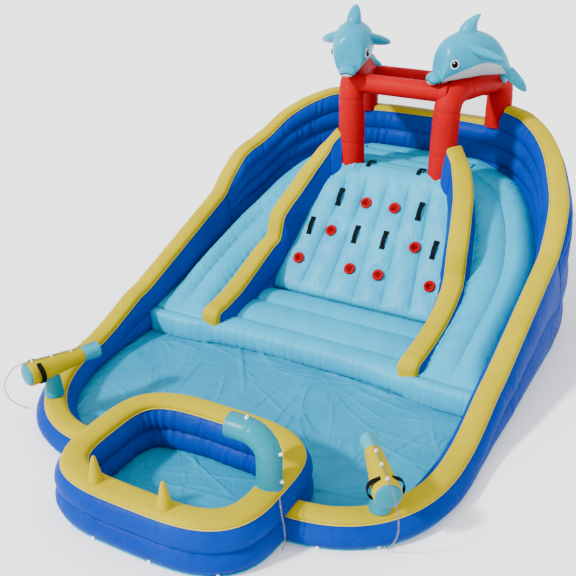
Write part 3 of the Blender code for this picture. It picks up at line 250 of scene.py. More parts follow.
def curveThrough(points, count):
    # smooth line through the points, evenly spaced
    points = np.asarray(points, float)
    padded = np.vstack([2 * points[0] - points[1], points, 2 * points[-1] - points[-2]])
    t = np.linspace(0, 1, 16, endpoint=False)[:, None]
    line = []
    for k in range(1, len(padded) - 2):
        p0, p1, p2, p3 = padded[k - 1:k + 3]
        line.append(0.5 * (2 * p1 + (p2 - p0) * t + (2 * p0 - 5 * p1 + 4 * p2 - p3) * t ** 2
                           + (3 * p1 - p0 - 3 * p2 + p3) * t ** 3))
    return evenly(np.vstack(line + [points[-1:]]), count)


def soften(values, width):
    # moving average that keeps the ends
    values = np.asarray(values, float)
    columns = values.reshape(len(values), -1)
    pad = width // 2
    longer = np.vstack([2 * columns[:1] - columns[pad:0:-1], columns, 2 * columns[-1:] - columns[-2:-pad - 2:-1]])
    kernel = np.hanning(2 * pad + 3)[1:-1]
    kernel /= kernel.sum()
    return np.stack([np.convolve(column, kernel, "valid") for column in longer.T], 1).reshape(values.shape)


def readTable(table, at):
    return np.interp(at, *np.array(table, float).T)


def buildMesh(name, points, faces, finish, node=None, fill=None, body="base", sharp=50.0):
    # one piece: its body, the solid it stands for and its finish
    mesh = bpy.data.meshes.new(name)
    mesh.from_pydata(points, [], faces)
    bm = bmesh.new()
    bm.from_mesh(mesh)
    bmesh.ops.recalc_face_normals(bm, faces=bm.faces[:])
    bm.to_mesh(mesh)
    bm.free()
    mesh.shade_smooth()
    mesh.set_sharp_from_angle(angle=math.radians(sharp))
    mesh.materials.append(finishMaterial(finish))
    piece = addObject(name, mesh)
    if body:
        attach(piece, body)
    if node:
        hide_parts(node)
    return piece


def ringFaces(rings, around, closed, first):
    rows = np.arange(rings if closed else rings - 1)[:, None]
    nextRow = (rows + 1) % rings
    edge = np.arange(around)[None, :]
    nextEdge = (edge + 1) % around
    quads = [rows * around + edge, rows * around + nextEdge, nextRow * around + nextEdge, nextRow * around + edge]
    faces = (np.stack(quads, -1).reshape(-1, 4) + first).tolist()
    if not closed:
        faces.append([first + k for k in range(around)])
        faces.append([first + (rings - 1) * around + k for k in reversed(range(around))])
    return faces


def sweepMany(name, groups, finish, closed=False, **rest):
    # several separate swept bodies in one piece; the rest goes to buildMesh
    points, faces = [], []
    for rings in groups:
        rings = np.asarray(rings)
        faces += ringFaces(len(rings), rings.shape[1], closed, len(points))
        points += rings.reshape(-1, 3).tolist()
    return buildMesh(name, points, faces, finish, **rest)


def sweep(name, rings, finish, **rest):
    return sweepMany(name, [rings], finish, **rest)


def slab(name, top, drop, finish, **rest):
    # top is rows by columns by 3; the underside hangs below it
    under = top - [0, 0, drop]
    return sweep(name, np.concatenate([top, under[:, ::-1]], 1), finish, sharp=70.0, **rest)


def tubeRings(line, radius, around=12):
    # radius is one number, one for each point, or one for each point and side
    tangent = unit(np.gradient(line, axis=0))
    side = np.cross(tangent[0], [0.0, 0.0, 1.0])
    if np.linalg.norm(side) < 0.2:
        side = np.cross(tangent[0], [0.0, 1.0, 0.0])
    across = []
    for along in tangent:
        side = unit(side - along * np.dot(side, along))
        across.append(side)
    across = np.array(across)
    up = np.cross(across, tangent)
    turn = circle(around)
    radius = np.asarray(radius, float)
    radius = radius if radius.ndim == 2 else np.broadcast_to(radius, (len(line),))[:, None]
    return (line[:, None] + across[:, None] * (radius * np.cos(turn))[:, :, None]
            + up[:, None] * (radius * np.sin(turn))[:, :, None])


def domeProfile(radius, height, rings):
    # radius and height pairs of a rounded end, with a small flat tip
    angles = np.linspace(0, math.pi / 2, rings)[:-1]
    return [(radius * math.cos(a), height * math.sin(a)) for a in angles] + [(radius * 0.03, height)]


# plan of the outer wall, the same as in the solids, and its air chambers
wallPlan = {"halfSpan": 1.68, "frontY": -1.79, "flatHalf": 0.75, "towerY": 1.43, "backY": 2.92, "backFlat": 0.30,
            "seamHalf": 0.113, "rise": 0.046, "capHalf": 0.080, "crown": 0.052, "base": 0.0123, "step": 0.016,
            "columnX": 0.84}
cornerShapes = {"left": {"startY": -0.35, "power": 2.2, "frontEnd": 0.62},
                "right": {"startY": -0.75, "power": 2.5, "frontEnd": 0.80}}
wallHeights = {
    "front": 0.170, "seamY": 0.107, "seam": 0.400, "tower": 0.885, "top": 1.750, "back": 1.575, "slideLow": 0.68,
    "slideHigh": 1.225, "backSeam": 1.40, "entryY": -0.75,
    "entryRise": ((0.0, 0.0), (0.2, 0.04), (0.4, 0.22), (0.6, 0.52), (0.8, 0.83), (1.0, 1.0)),
    "towerRise": ((0.0, 0.0), (0.11, 0.17), (0.25, 0.365), (0.32, 0.42), (0.42, 0.475), (0.52, 0.56),
                  (0.65, 0.735), (0.785, 0.87), (0.92, 0.98), (1.0, 1.0)),
    "slideEdge": ((0.0, 0.0), (0.37, 0.275), (0.517, 0.50), (0.62, 0.68), (0.92, 0.97), (1.0, 1.0))}
# folds are the spacing and the depth of the creases that cross a tier
chamber = {"tierRows": 9, "pucker": 0.075, "puckerReach": 0.035, "slowWave": 0.42, "creaseWidth": 0.012,
           "outerFolds": (0.50, 0.006), "innerFolds": (0.33, 0.010)}
highFolds = {"outerFolds": (0.35, 0.007), "innerFolds": (0.15, 0.014)}
pad = {"pucker": 0.06, "wrinkle": 0.0016, "creaseSpacing": 0.45, "creaseDepth": 0.0045, "creaseWidth": 0.011,
       "under": 0.004, "piping": 0.0052, "pipingOut": 0.002, "pipingUp": 0.004}
towerEndAngle = math.acos((wallPlan["columnX"] - wallPlan["backFlat"]) / (wallPlan["halfSpan"] - wallPlan["backFlat"]))


def towerArc(angle):
    flat = wallPlan["backFlat"]
    return joined(flat + (wallPlan["halfSpan"] - flat) * np.cos(angle),
                   wallPlan["towerY"] + (wallPlan["backY"] - wallPlan["towerY"]) * np.sin(angle))


def wallLine(name):
    # plan points of one side, from the small pool to the rear column
    shape, flatHalf = cornerShapes[name], wallPlan["flatHalf"]
    across = wallPlan["halfSpan"] - flatHalf
    along = shape["startY"] - wallPlan["frontY"]
    turn = np.linspace(0, math.pi / 2, 90)
    corner = joined(flatHalf + across * np.sin(turn) ** (2 / shape["power"]),
                     shape["startY"] - along * np.cos(turn) ** (2 / shape["power"]))
    line = np.vstack([corner, [(wallPlan["halfSpan"], wallPlan["towerY"])],
                      towerArc(np.linspace(0, towerEndAngle, 90)[1:])])
    if shape["frontEnd"] < flatHalf:
        line = np.vstack([[(shape["frontEnd"], wallPlan["frontY"])], line])
    else:
        line = line[line[:, 0] > shape["frontEnd"] - 0.001]
    return evenly(line, int(lengthAlong(line)[-1] / wallPlan["step"]))


def outward(line):
    along = unit(np.gradient(line, axis=0))
    return joined(along[:, 1], -along[:, 0])


def wallTop(line):
    # the cap's height, the slide's edge and how far each point is along the entry's rise
    y, h, towerY = line[:, 1], wallHeights, wallPlan["towerY"]
    entry = within((y + 0.05 - h["entryY"]) / (h["seamY"] + 0.05 - h["entryY"]))
    low = h["front"] + (h["seam"] - h["front"]) * readTable(h["entryRise"], entry)
    side = h["seam"] + (h["tower"] - h["seam"]) * (y - h["seamY"]) / (towerY - h["seamY"])
    depth = within((y - towerY) / (wallPlan["backY"] - towerY) / math.sin(towerEndAngle))
    tower = h["tower"] + (h["top"] - h["tower"]) * readTable(h["towerRise"], depth)
    edge = h["slideLow"] + (h["slideHigh"] - h["slideLow"]) * readTable(h["slideEdge"], depth)
    top = np.where(y <= h["seamY"], low, np.where(y <= towerY, side, tower))
    return soften(top, 7), soften(edge, 7), entry


def crossFolds(run, z, low, share, seed, spacing, depth):
    # sharp creases that cross one tier
    draw = np.random.default_rng(seed)
    total = np.zeros(len(run))
    for _ in range(int((run[-1] - run[0]) / spacing)):
        place, lean, deep = draw.uniform(run[0], run[-1]), draw.uniform(-0.30, 0.30), draw.uniform(0.3, 1.0)
        total += deep * peak(run - place - lean * (z - low), chamber["creaseWidth"])
    return depth * np.clip(total, 0, 1.2) * math.sin(math.pi * share) ** 0.4


def chamberRings(line, normals, edges, halves, rise, mirror, seed, pinch=None, wrinkle=0.0022,
                 outerFolds=chamber["outerFolds"], innerFolds=chamber["innerFolds"]):
    # rings of a stack of air chambers; edges and halves hold one entry for each seam level
    run = lengthAlong(line)
    edges = [edge + 0 * run for edge in edges]
    shares = (1 - np.cos(np.linspace(0, math.pi, chamber["tierRows"] + 1))) / 2
    columns = []
    for tier, (low, high) in enumerate(zip(edges, edges[1:])):
        swell = rise * np.clip((high - low) / 0.20, 0.25, 1.0)
        for share in shares if tier == len(edges) - 2 else shares[:-1]:
            z = low + (high - low) * share
            half = halves[tier] + (halves[tier + 1] - halves[tier]) * share
            half = half + swell * math.sin(math.pi * share) ** 0.8
            if pinch is not None:
                whole = within((z - edges[0]) / (edges[-1] - edges[0]))
                plain = halves[0] + (halves[-1] - halves[0]) * whole + 1.25 * rise * np.sin(math.pi * whole) ** 0.8
                half = plain + (half - plain) * pinch
            columns.append((half, z, np.minimum(z - low, high - z), tier, share))
    rings = []
    for sign, puckerSeed, foldSeed, folds in ((1, seed, seed + 5, outerFolds), (-1, seed + 50, seed, innerFolds)):
        for half, z, near, tier, share in columns[::sign]:
            fold = puckers(run, chamber["pucker"], puckerSeed) * fade(near, chamber["puckerReach"])
            slow = ripple(joined(run, z), chamber["slowWave"], seed + 7)
            crossing = crossFolds(run, z, edges[tier], share, foldSeed + 11 * tier, *folds)
            out = sign * (half - wrinkle * fold + wrinkle * 0.8 * slow - crossing)
            x, y = (line + normals * out[:, None]).T
            rings.append(joined(mirror * x, y, z))
    return np.stack(rings, 1)


def padRings(spine, side, half, crown, seed, mirror):
    # a flat pad with a full crown along a line; side points across it
    up = unit(np.cross(side, unit(np.gradient(spine, axis=0))) * mirror)
    run = lengthAlong(spine)
    folds, slow = puckers(run, pad["pucker"], seed), ripple(run, 0.3, seed + 3)
    draw = np.random.default_rng(seed + 900)
    creases = np.zeros(len(run))
    for _ in range(int(run[-1] / pad["creaseSpacing"])):
        creases += draw.uniform(0.3, 1.0) * peak(run - draw.uniform(0, run[-1]), pad["creaseWidth"])
    creases = np.clip(creases, 0, 1.2)
    rings = []
    for angle in np.linspace(0, math.pi, 15):
        across = math.cos(angle)
        lift = crown * math.sin(angle) ** 0.62 - pad["wrinkle"] * folds * abs(across) ** 3 + pad["wrinkle"] * 0.5 * slow
        lift = lift - pad["creaseDepth"] * creases * math.sin(angle)
        reach = math.copysign(abs(across) ** 0.85, across) * (half + 0.004 * math.sin(angle))
        rings.append(spine + side * reach + up * lift[:, None])
    rings += [spine + side * reach - up * pad["under"] for reach in (-half * 0.96, half * 0.96)]
    return np.stack(rings, 1), up


def makeCap(name, node, line, normals, top, half, crown, seed, mirror=1.0, piping=None, closed=False):
    # a yellow cap along a plan line at the height of top, and the piping along its two edges
    spine = joined(mirror * line[:, 0], line[:, 1], top)
    side = joined(mirror * normals[:, 0], normals[:, 1], 0)
    wrap = 3 if closed else 0
    longer = [np.vstack([rows[len(rows) - wrap:], rows, rows[:wrap]]) for rows in (spine, side)]
    rings, up = (rows[wrap:len(rows) - wrap] for rows in padRings(*longer, half, crown, seed, mirror))
    sweep(name, rings, "yellow", closed=closed, node=node, fill=1.0)
    cords = [tubeRings(spine + side * sign * (half + pad["pipingOut"]) + up * pad["pipingUp"], pad["piping"], 8)
             for sign in (-1.0, 1.0)]
    sweepMany(piping or name + "Piping", cords, "piping", closed=closed)


# base sheet and pool floors
groundSheet = {"reach": 0.122, "centre": (0.0, 0.5),
               "clips": ((-1.061, -1.798), (-0.167, -2.424), (0.272, -2.426), (0.677, -2.326), (1.135, -1.845),
                         (1.453, -1.638)),
               "edge": ((0.985, 0.0), (1.0, 0.004), (1.0, 0.009), (0.993, 0.0125), (0.90, 0.0125), (0.0, 0.0125))}
poolFolds = {
    "main": {"low": (-1.56, -1.72), "high": (1.56, 0.12), "count": 290, "rise": 0.0125, "seed": 21},
    "small": {"low": (-0.46, -2.26), "high": (0.67, -1.42), "count": 90, "rise": 0.0090, "seed": 44},
    "height": 0.016, "lowest": 0.0126, "highest": 0.034, "grid": 0.0115,
    "roots": ((-1.5, 0.0), (1.45, -0.1), (0.1, 0.1), (0.9, -1.3), (-0.7, -1.2))}


def makeGroundSheet():
    # one outline round the walls and the small pool, seen from a point inside them
    reach, centre = groundSheet["reach"], np.array(groundSheet["centre"])
    walls = []
    for name, order in (("right", 1), ("left", -1)):
        line = wallLine(name)
        walls.append(((line + outward(line) * reach) * [sides[name], 1])[::order])
    small, smallOut = smallPoolLoop(900)
    small = (small + smallOut * reach)[np.sum((small - centre) * smallOut, 1) > 0]
    angles = np.linspace(-math.pi, math.pi, 9000, endpoint=False)
    distances = []
    for ring, limits in ((np.vstack(walls), {"period": 2 * math.pi}), (small, {"left": 0.0, "right": 0.0})):
        offset = ring - centre
        turn = np.arctan2(offset[:, 1], offset[:, 0])
        order = np.argsort(turn)
        distances.append(np.interp(angles, turn[order], np.hypot(*offset.T)[order], **limits))
    ring = centre + np.max(distances, 0)[:, None] * joined(np.cos(angles), np.sin(angles))
    ring = evenly(np.vstack([ring, ring[:1]]), 901)[:-1]
    wave = np.abs(0.002 * ripple(lengthAlong(ring), 0.16, 5))
    rows = []
    for share, z in groundSheet["edge"]:
        grown = centre + (ring - centre) * (0.02 if share == 0.0 else 1 - (1 - share) * 0.1)
        rows.append(joined(*grown.T, z + wave * (share > 0.9) * (z > 0)))
    sheet = sweep("groundSheet", rows, "cyan", node="ground_sheet")
    return ring


def makePoolFloor(name):
    spec = poolFolds[name]
    low, high = np.array(spec["low"]), np.array(spec["high"])
    counts = np.ceil((high - low) / poolFolds["grid"]).astype(int)
    ys = np.linspace(low[1], high[1], counts[1])
    ends = [low[0] + 0 * ys, high[0] + 0 * ys]
    if name == "main":
        lines = [wallLine(side) for side in sides]
        ends = [mirror * np.interp(ys, line[:, 1], line[:, 0]) for mirror, line in zip(sides.values(), lines)]
    share = np.linspace(0, 1, counts[0])[None, :]
    gridX = ends[0][:, None] * (1 - share) + ends[1][:, None] * share
    flat = joined(gridX, ys[:, None]).reshape(-1, 2)
    draw = np.random.default_rng(spec["seed"])
    z = poolFolds["height"] + 0.0022 * ripple(flat, 0.5, spec["seed"] + 1)
    roots = np.array(poolFolds["roots"])
    for _ in range(spec["count"]):
        root = roots[draw.integers(len(roots))]
        if draw.random() < 0.45:
            root = draw.uniform(low, high)
        angle = draw.uniform(0, 2 * math.pi)
        heading = np.array([math.cos(angle), math.sin(angle)])
        offset = flat - (root + heading * draw.uniform(0.05, 0.5))
        length = draw.uniform(0.15, 0.95)
        along = offset @ heading
        across = offset @ np.array([-heading[1], heading[0]]) + 0.02 * np.sin(along * draw.uniform(2, 7))
        ridge = np.where((along > 0) & (along < length), np.sin(math.pi * within(along / length)) ** 0.7, 0.0)
        width = draw.uniform(0.0075, 0.015)
        z += spec["rise"] * draw.uniform(0.25, 1.0) * ridge * peak(across, width)
    z = np.clip(z, poolFolds["lowest"], poolFolds["highest"])
    top = joined(gridX, ys[:, None], z.reshape(gridX.shape))
    under = top.copy()
    under[:, :, 2] = np.maximum(top[:, :, 2] - 0.001, 0.0124)
    floor = sweep(name + "PoolFloor", np.concatenate([top, under[:, ::-1]], 1), "poolCyan")


# small splash pool
smallPool = {"centre": (0.105, -1.835), "half": (0.695, 0.54), "power": 3.6, "height": 0.345, "rim": 0.090,
             "wrinkle": 0.0030, "pleat": 0.017, "pleatSpacing": 0.095}


def smallPoolLoop(count):
    # plan points of the small pool's wall, and the directions away from it
    turn = np.linspace(0, 2 * math.pi, 2000, endpoint=False)
    loop = joined(*(middle + half * np.copysign(np.abs(wave) ** (2 / smallPool["power"]), wave) for middle, half, wave
                     in zip(smallPool["centre"], smallPool["half"], (np.cos(turn), np.sin(turn)))))
    loop = evenly(np.vstack([loop, loop[:1]]), count + 1)[:-1]
    along = unit(np.roll(loop, -1, 0) - np.roll(loop, 1, 0))
    return loop, joined(along[:, 1], -along[:, 0])


def makeSmallPool():
    loop, normals = smallPoolLoop(300)
    base, top, rim = wallPlan["base"], smallPool["height"], smallPool["rim"]
    rings = chamberRings(loop, normals, [base, (base + top) / 2, top], [wallPlan["seamHalf"]] * 2 + [rim],
                         wallPlan["rise"], 1.0, 61, wrinkle=smallPool["wrinkle"], outerFolds=(0.70, 0.004),
                         innerFolds=(0.13, 0.013))
    # the inner side is pinched into pleats at its corners
    bend = np.linalg.norm(np.roll(normals, -3, 0) - np.roll(normals, 3, 0), axis=1)
    wave = np.sin(lengthAlong(loop) * 2 * math.pi / smallPool["pleatSpacing"])
    pleats = within(bend / bend.max()) * (0.4 + 0.6 * wave)
    height = within((rings[:, :, 2] - base) / (top - base))
    inward = np.arange(rings.shape[1]) >= rings.shape[1] // 2
    push = smallPool["pleat"] * pleats[:, None] * np.sin(math.pi * height) ** 0.4 * inward
    rings[:, :, :2] += normals[:, None, :] * push[:, :, None]
    sweep("smallPoolWall", rings, "blue", closed=True, node="small_pool_wall", fill=1.0)
    makeCap("smallPoolRim", "small_pool_rim", loop, normals, top, rim, wallPlan["crown"], 66,
            piping="smallPoolPiping", closed=True)


# main walls and their caps
def makeSideWalls():
    seamHalf, capHalf, towerY = (wallPlan[key] for key in ("seamHalf", "capHalf", "towerY"))
    for name, mirror in sides.items():
        line = wallLine(name)
        normals = outward(line)
        top, slideEdge, entry = wallTop(line)
        base = wallPlan["base"] + 0 * top
        low, high = line[:, 1] <= towerY + 0.01, line[:, 1] >= towerY - 0.004
        # the tiers fade out at the joint between the side and the tower
        tiered = within(np.abs(line[:, 1] - towerY) / 0.24) ** 0.8
        nick = 0.006 * peak(line[low, 1] - wallHeights["seamY"], 0.012)
        tier = (top - slideEdge) / 3
        parts = (("Wall", "_wall", low, (base, base + (top - base) / 2, top),
                  [seamHalf - nick, seamHalf - nick, capHalf - nick], 70, entry * tiered, {}),
                 ("TowerWall", "_tower_wall", high,
                  (base, (base + slideEdge) / 2, slideEdge, slideEdge + tier, slideEdge + 2 * tier, top),
                  [seamHalf] * 5 + [capHalf], 80, tiered, highFolds))
        for label, node, part, levels, halves, seed, pinch, folds in parts:
            rings = chamberRings(line[part], normals[part], [level[part] for level in levels], halves,
                                 wallPlan["rise"], mirror, seed, pinch[part], **folds)
            sweep(name + label, rings, "blue", node=name + node, fill=1.0)
        makeCap(name + "WallCap", name + "_wall_cap", line, normals, top, capHalf, wallPlan["crown"], 90, mirror)


def makeBackWall():
    half = towerArc(np.linspace(towerEndAngle, math.pi / 2, 40))
    line = evenly(np.vstack([half, (half * [-1, 1])[::-1]]), 110)
    normals = outward(line)
    base, edge, top = wallPlan["base"], wallHeights["slideHigh"], wallHeights["back"]
    levels = [base, (base + edge) / 2, edge, wallHeights["backSeam"], top]
    rings = chamberRings(line, normals, levels, [wallPlan["seamHalf"]] * 4 + [wallPlan["capHalf"]],
                         wallPlan["rise"], 1.0, 100, **highFolds)
    sweep("backWall", rings, "blue", node="back_wall", fill=1.0)
    keep = np.abs(line[:, 0]) < 0.63
    makeCap("backWallCap", "back_wall_cap", line[keep], normals[keep], top, wallPlan["capHalf"], wallPlan["crown"], 104)


sheetEdge = makeGroundSheet()
makePoolFloor("main")
makePoolFloor("small")
makeSmallPool()
makeSideWalls()
makeBackWall()
print("base, pools and walls built")

# landing, climbing wall and platform
climb = {"footY": 1.045, "footZ": 0.220, "topY": 1.900, "topZ": 1.265, "footHalf": 0.86, "topHalf": 0.62,
         "widening": 0.055, "channels": 6, "swell": 0.046, "topSwell": 0.040, "meanHalf": 0.74, "length": 1.38,
         "footDrop": 0.030, "topDrop": 0.012, "lip": 0.011, "bottom": 0.0125}
holds = {"places": ((-0.23, 0.735), (0.20, 0.735), (-0.57, 0.484), (0.60, 0.484), (-0.83, 0.237), (-0.146, 0.237),
                    (0.22, 0.237), (0.86, 0.237)),
         "dimple": 0.026, "dimpleWidth": 0.080, "ray": 0.006, "rayRadius": 0.085, "sink": -0.014, "fold": 0.0050,
         "profile": ((0.050, -0.014), (0.055, 0.000), (0.0565, 0.007), (0.0545, 0.012), (0.050, 0.0145),
                     (0.044, 0.015), (0.037, 0.013), (0.029, 0.009), (0.021, 0.003), (0.013, -0.003),
                     (0.007, -0.007), (0.002, -0.008))}
# section rows are the share of the depth, the share of the height and how much the fabric puckers
landing = {"half": 1.60, "setBack": 0.105, "rear": 0.360, "endRear": 0.145, "height": 0.220, "pucker": 0.007,
           "matCrease": 0.750, "matHalf": 0.90, "matLow": 0.182, "matRise": 0.038, "matDrop": 0.10,
           "section": ((1.0, 0.0, 0), (0.10, 0.0, 0.3), (0.02, 0.10, 1.0), (-0.012, 0.30, 0.6), (-0.018, 0.50, 0.3),
                       (0.0, 0.68, 0.5), (0.045, 0.82, 0.8), (0.13, 0.93, 0.7), (0.26, 0.985, 0.3), (0.45, 1.0, 0.2),
                       (0.66, 0.985, 0.3), (0.84, 0.93, 0.6), (0.95, 0.86, 1.0), (1.0, 0.80, 1.0))}
platform = {"frontY": 1.985, "height": 1.225, "half": 0.60, "rearY": 2.874, "tubes": 4, "rise": 0.027, "drop": 0.20}
climbNormal = unit([0.0, -(climb["topZ"] - climb["footZ"]), climb["topY"] - climb["footY"]])


def climbPoint(across, up, out=0.0):
    across, up = np.asarray(across, float), np.asarray(up, float)
    half = climb["footHalf"] + (climb["topHalf"] - climb["footHalf"]) * up
    half = half + climb["widening"] * within((up - 0.80) / 0.20)
    y = climb["footY"] + (climb["topY"] - climb["footY"]) * up
    z = climb["footZ"] + (climb["topZ"] - climb["footZ"]) * up
    return joined(across * half, y, z) + climbNormal * np.asarray(out)[..., None]


def makeClimbingWall():
    gridA, gridU = np.meshgrid(np.linspace(-1, 1, 230), np.linspace(0, 1, 170))
    phase = climb["channels"] * (gridA + 1) / 2
    channel = np.abs(np.sin(math.pi * phase)) ** 0.42
    near = np.round(phase).astype(int)
    # each seam is sewn in two runs, with a plain band half way up
    draw = np.random.default_rng(12)
    starts = draw.uniform(0.015, 0.05, climb["channels"] + 1)[near]
    breaks = draw.uniform(0.47, 0.53, climb["channels"] + 1)[near]
    low = within((gridU - starts) / 0.05) * within((breaks - gridU) / 0.05)
    high = within((gridU - breaks - 0.05) / 0.05) * within((0.96 - gridU) / 0.05)
    sewn = np.where((near == 0) | (near == climb["channels"]), 0.30, 0.45 + 0.55 * within(low + high))
    out = -climb["swell"] * (1 - channel) * sewn * (1 - 0.9 * within((gridU - 0.84) / 0.10))
    beside = within((np.abs(climbPoint(gridA, gridU)[:, :, 0]) - 0.32) / 0.06)
    out += climb["topSwell"] * beside * peak(1 - gridU, 0.045)
    out = out + 0.0028 * gridRipple(gridA * climb["meanHalf"], gridU * climb["length"], 0.22, 31)
    for across, up in holds["places"]:
        away = np.hypot((gridA - across) * climb["meanHalf"], (gridU - up) * climb["length"])
        out -= holds["dimple"] * peak(away, holds["dimpleWidth"])
        rays = puckers(np.arctan2(gridU - up, gridA - across).ravel(), 0.5, 35).reshape(out.shape)
        out -= holds["ray"] * rays * peak(away - holds["rayRadius"], 0.035)
    out -= climb["footDrop"] * fade(gridU, 0.022) + climb["topDrop"] * fade(1 - gridU, 0.022)
    out -= 0.004 * (puckers(np.linspace(0, 1.5, gridA.shape[1]), 0.05, 33)[None, :]
                    * fade(np.minimum(gridU, 1 - gridU), 0.05))
    surface = climbPoint(gridA, gridU, out)
    # the top rolls over the edge towards the platform
    edge = surface[-1]
    inner = edge.copy()
    inner[:, 1:] = platform["frontY"] + 0.012, climb["topZ"] + 0.004
    lip = [edge + (inner - edge) * share + [0, 0, climb["lip"] * math.sin(math.pi * min(share * 1.25, 1.0))]
           for share in np.linspace(0.12, 1, 8)]
    surface = np.concatenate([surface, lip])
    under = surface.copy()
    under[:, :, 1] = np.clip(under[:, :, 1] + 0.10, 0, platform["frontY"] + 0.010)
    under[:, :, 2] = np.clip(under[:, :, 2] - 0.12, climb["bottom"], 2.0)
    sweep("climbingWall", np.concatenate([surface, under[:, ::-1]], 1), "cyan", sharp=70.0, node="climbing_wall",
          fill=0.95)


def makeHolds():
    # flush discs, each drawn in at its middle so that the cloth folds towards it
    draw = np.random.default_rng(57)
    right = np.array([1.0, 0.0, 0.0])
    slope = np.cross(climbNormal, right)
    turn = circle(48)
    groups, foldShadeMask = [], []
    for across, up in holds["places"]:
        centre = climbPoint(across, up, holds["sink"])
        folds = sum(np.sin(turn * count + draw.uniform(0, 6.3)) for count in (5, 7, 8, 11)) / 2.6
        rings = []
        for radius, lift in holds["profile"]:
            share = radius / 0.055
            raised = lift + holds["fold"] * folds * share * within(1.15 - share) * 2.2
            shift = turn + 0.10 * folds * (1 - share)
            rings.append(centre + np.outer(raised, climbNormal) + np.outer(np.cos(shift) * radius, right)
                         + np.outer(np.sin(shift) * radius, slope))
        groups.append(rings)
        # mask of the fold troughs that get the painted shade
        foldShadeMask += [folds < -0.15] * len(rings)
    piece = sweepMany("climbingHolds", groups, "holdRed", fill=0.7)
    # the fold troughs of the inner rings get the dark red: painted shade in the folds
    piece.data.materials.append(finishMaterial("holdFoldShade"))
    for face in piece.data.polygons:
        row, side = divmod(min(face.vertices), len(turn))
        if row % len(holds["profile"]) in (7, 8, 9, 10) and foldShadeMask[row][side]:
            face.material_index = 1


def makeLanding():
    # the front tube bows back in the middle
    x = np.linspace(-landing["half"], landing["half"], 300)
    share = within(np.abs(x) / wallPlan["halfSpan"] / 0.75)
    front = landing["setBack"] * (0.5 + 0.5 * np.cos(math.pi * share ** 2))
    rear = soften(np.where(np.abs(x) < 0.95, landing["rear"], landing["endRear"]), 9)
    folds, slow = puckers(x, 0.070, 41, 3.5), 0.0015 * ripple(x, 0.4, 43)
    rings = []
    for along, height, fold in landing["section"]:
        push = landing["pucker"] * fold * folds
        y = front + (rear - front) * along + push * (along < 0.2)
        z = climb["bottom"] + (landing["height"] - climb["bottom"]) * height - push * (along >= 0.2) + slow
        rings.append(joined(x, y, z))
    sweep("landingTube", np.stack(rings, 1), "cyan", sharp=70.0, node="landing_tube", fill=1.0)

    start, crease, foot = landing["rear"], landing["matCrease"], climb["footY"]
    x = np.linspace(-landing["matHalf"], landing["matHalf"], 170)
    gridX, gridY = np.meshgrid(x, np.linspace(start - 0.012, foot + 0.012, 90))
    tubes = np.where(gridY < crease, (gridY - start) / (crease - start), (gridY - crease) / (foot - crease))
    lift = np.sin(math.pi * within(tubes)) ** 0.6
    z = landing["matLow"] + landing["matRise"] * lift - 0.005 * (puckers(x, 0.05, 46)[None, :] * (1 - lift))
    z += 0.0020 * gridRipple(gridX, gridY, 0.2, 47)
    slab("landingMat", joined(gridX, gridY, z), landing["matDrop"], "cyan", node="landing_mat", fill=0.95)


def makePlatform():
    start, end = platform["frontY"], platform["rearY"]
    x = np.linspace(-platform["half"], platform["half"], 120)
    gridX, gridY = np.meshgrid(x, np.linspace(start - 0.010, end - 0.01, 130))
    share = within((gridY - start) / (end - start))
    lift = np.abs(np.sin(math.pi * share * platform["tubes"])) ** 0.6
    z = climb["topZ"] - platform["rise"] - (climb["topZ"] - platform["height"]) * share + platform["rise"] * lift
    z -= 0.004 * puckers(x, 0.05, 48)[None, :] * (1 - lift)
    slab("platformDeck", joined(gridX, gridY, z), platform["drop"], "cyan", node="platform", fill=0.95)


makeClimbingWall()
makeHolds()
makeLanding()
makePlatform()
print("landing and climbing wall built")

# dividers beside the slides; line rows are depth, side and height
divider = {
    "capHalf": 0.085, "seamHalf": 0.103, "rise": 0.037, "crown": 0.050, "noseLength": 0.10,
    "line": ((0.119, 0.953, 0.294), (0.258, 0.955, 0.300), (0.500, 0.961, 0.337), (0.715, 0.969, 0.398),
             (0.899, 0.967, 0.472), (1.100, 0.955, 0.5635), (1.231, 0.925, 0.625), (1.282, 0.913, 0.845),
             (1.390, 0.887, 0.937), (1.501, 0.857, 1.017), (1.600, 0.828, 1.1025), (1.699, 0.798, 1.188),
             (1.800, 0.750, 1.286), (1.900, 0.685, 1.409), (1.965, 0.576, 1.556)),
    "noseY": 0.122, "noseLow": 0.130, "noseHigh": 0.275}


def makeDividers():
    table, capHalf = np.array(divider["line"]), divider["capHalf"]
    plan = soften(evenly(table[:, [1, 0]], 170), 11)
    y = plan[:, 1]
    top = soften(np.interp(y, table[:, 0], table[:, 2]), 3)
    normals = outward(plan)
    normals[0] = normals[1] = (1.0, 0.0)
    base = wallPlan["base"]
    nose = within((y - table[0, 0]) / divider["noseLength"]) ** 0.5
    seam = capHalf + (divider["seamHalf"] - capHalf) * nose
    lower = [(plan[0, 0], divider["noseY"], z) for z in np.linspace(divider["noseLow"], divider["noseHigh"], 14)]
    spine = soften(evenly(np.vstack([lower, joined(*plan.T, top)[3:]]), 260), 7)
    across = joined(*(np.interp(spine[:, 1], y, normal) for normal in normals.T))
    across[spine[:, 2] < 0.30] = (1.0, 0.0)
    for name, mirror in sides.items():
        rings = chamberRings(plan, normals, [base, (base + top) / 2, top], [seam, seam, capHalf],
                             divider["rise"] * nose, mirror, 110, within(y), innerFolds=(0.17, 0.011))
        sweep(name + "Divider", rings, "blue", node=name + "_divider", fill=1.0)
        makeCap(name + "DividerCap", name + "_divider_cap", spine[:, :2], unit(across), spine[:, 2], capHalf,
                divider["crown"], 117, mirror)


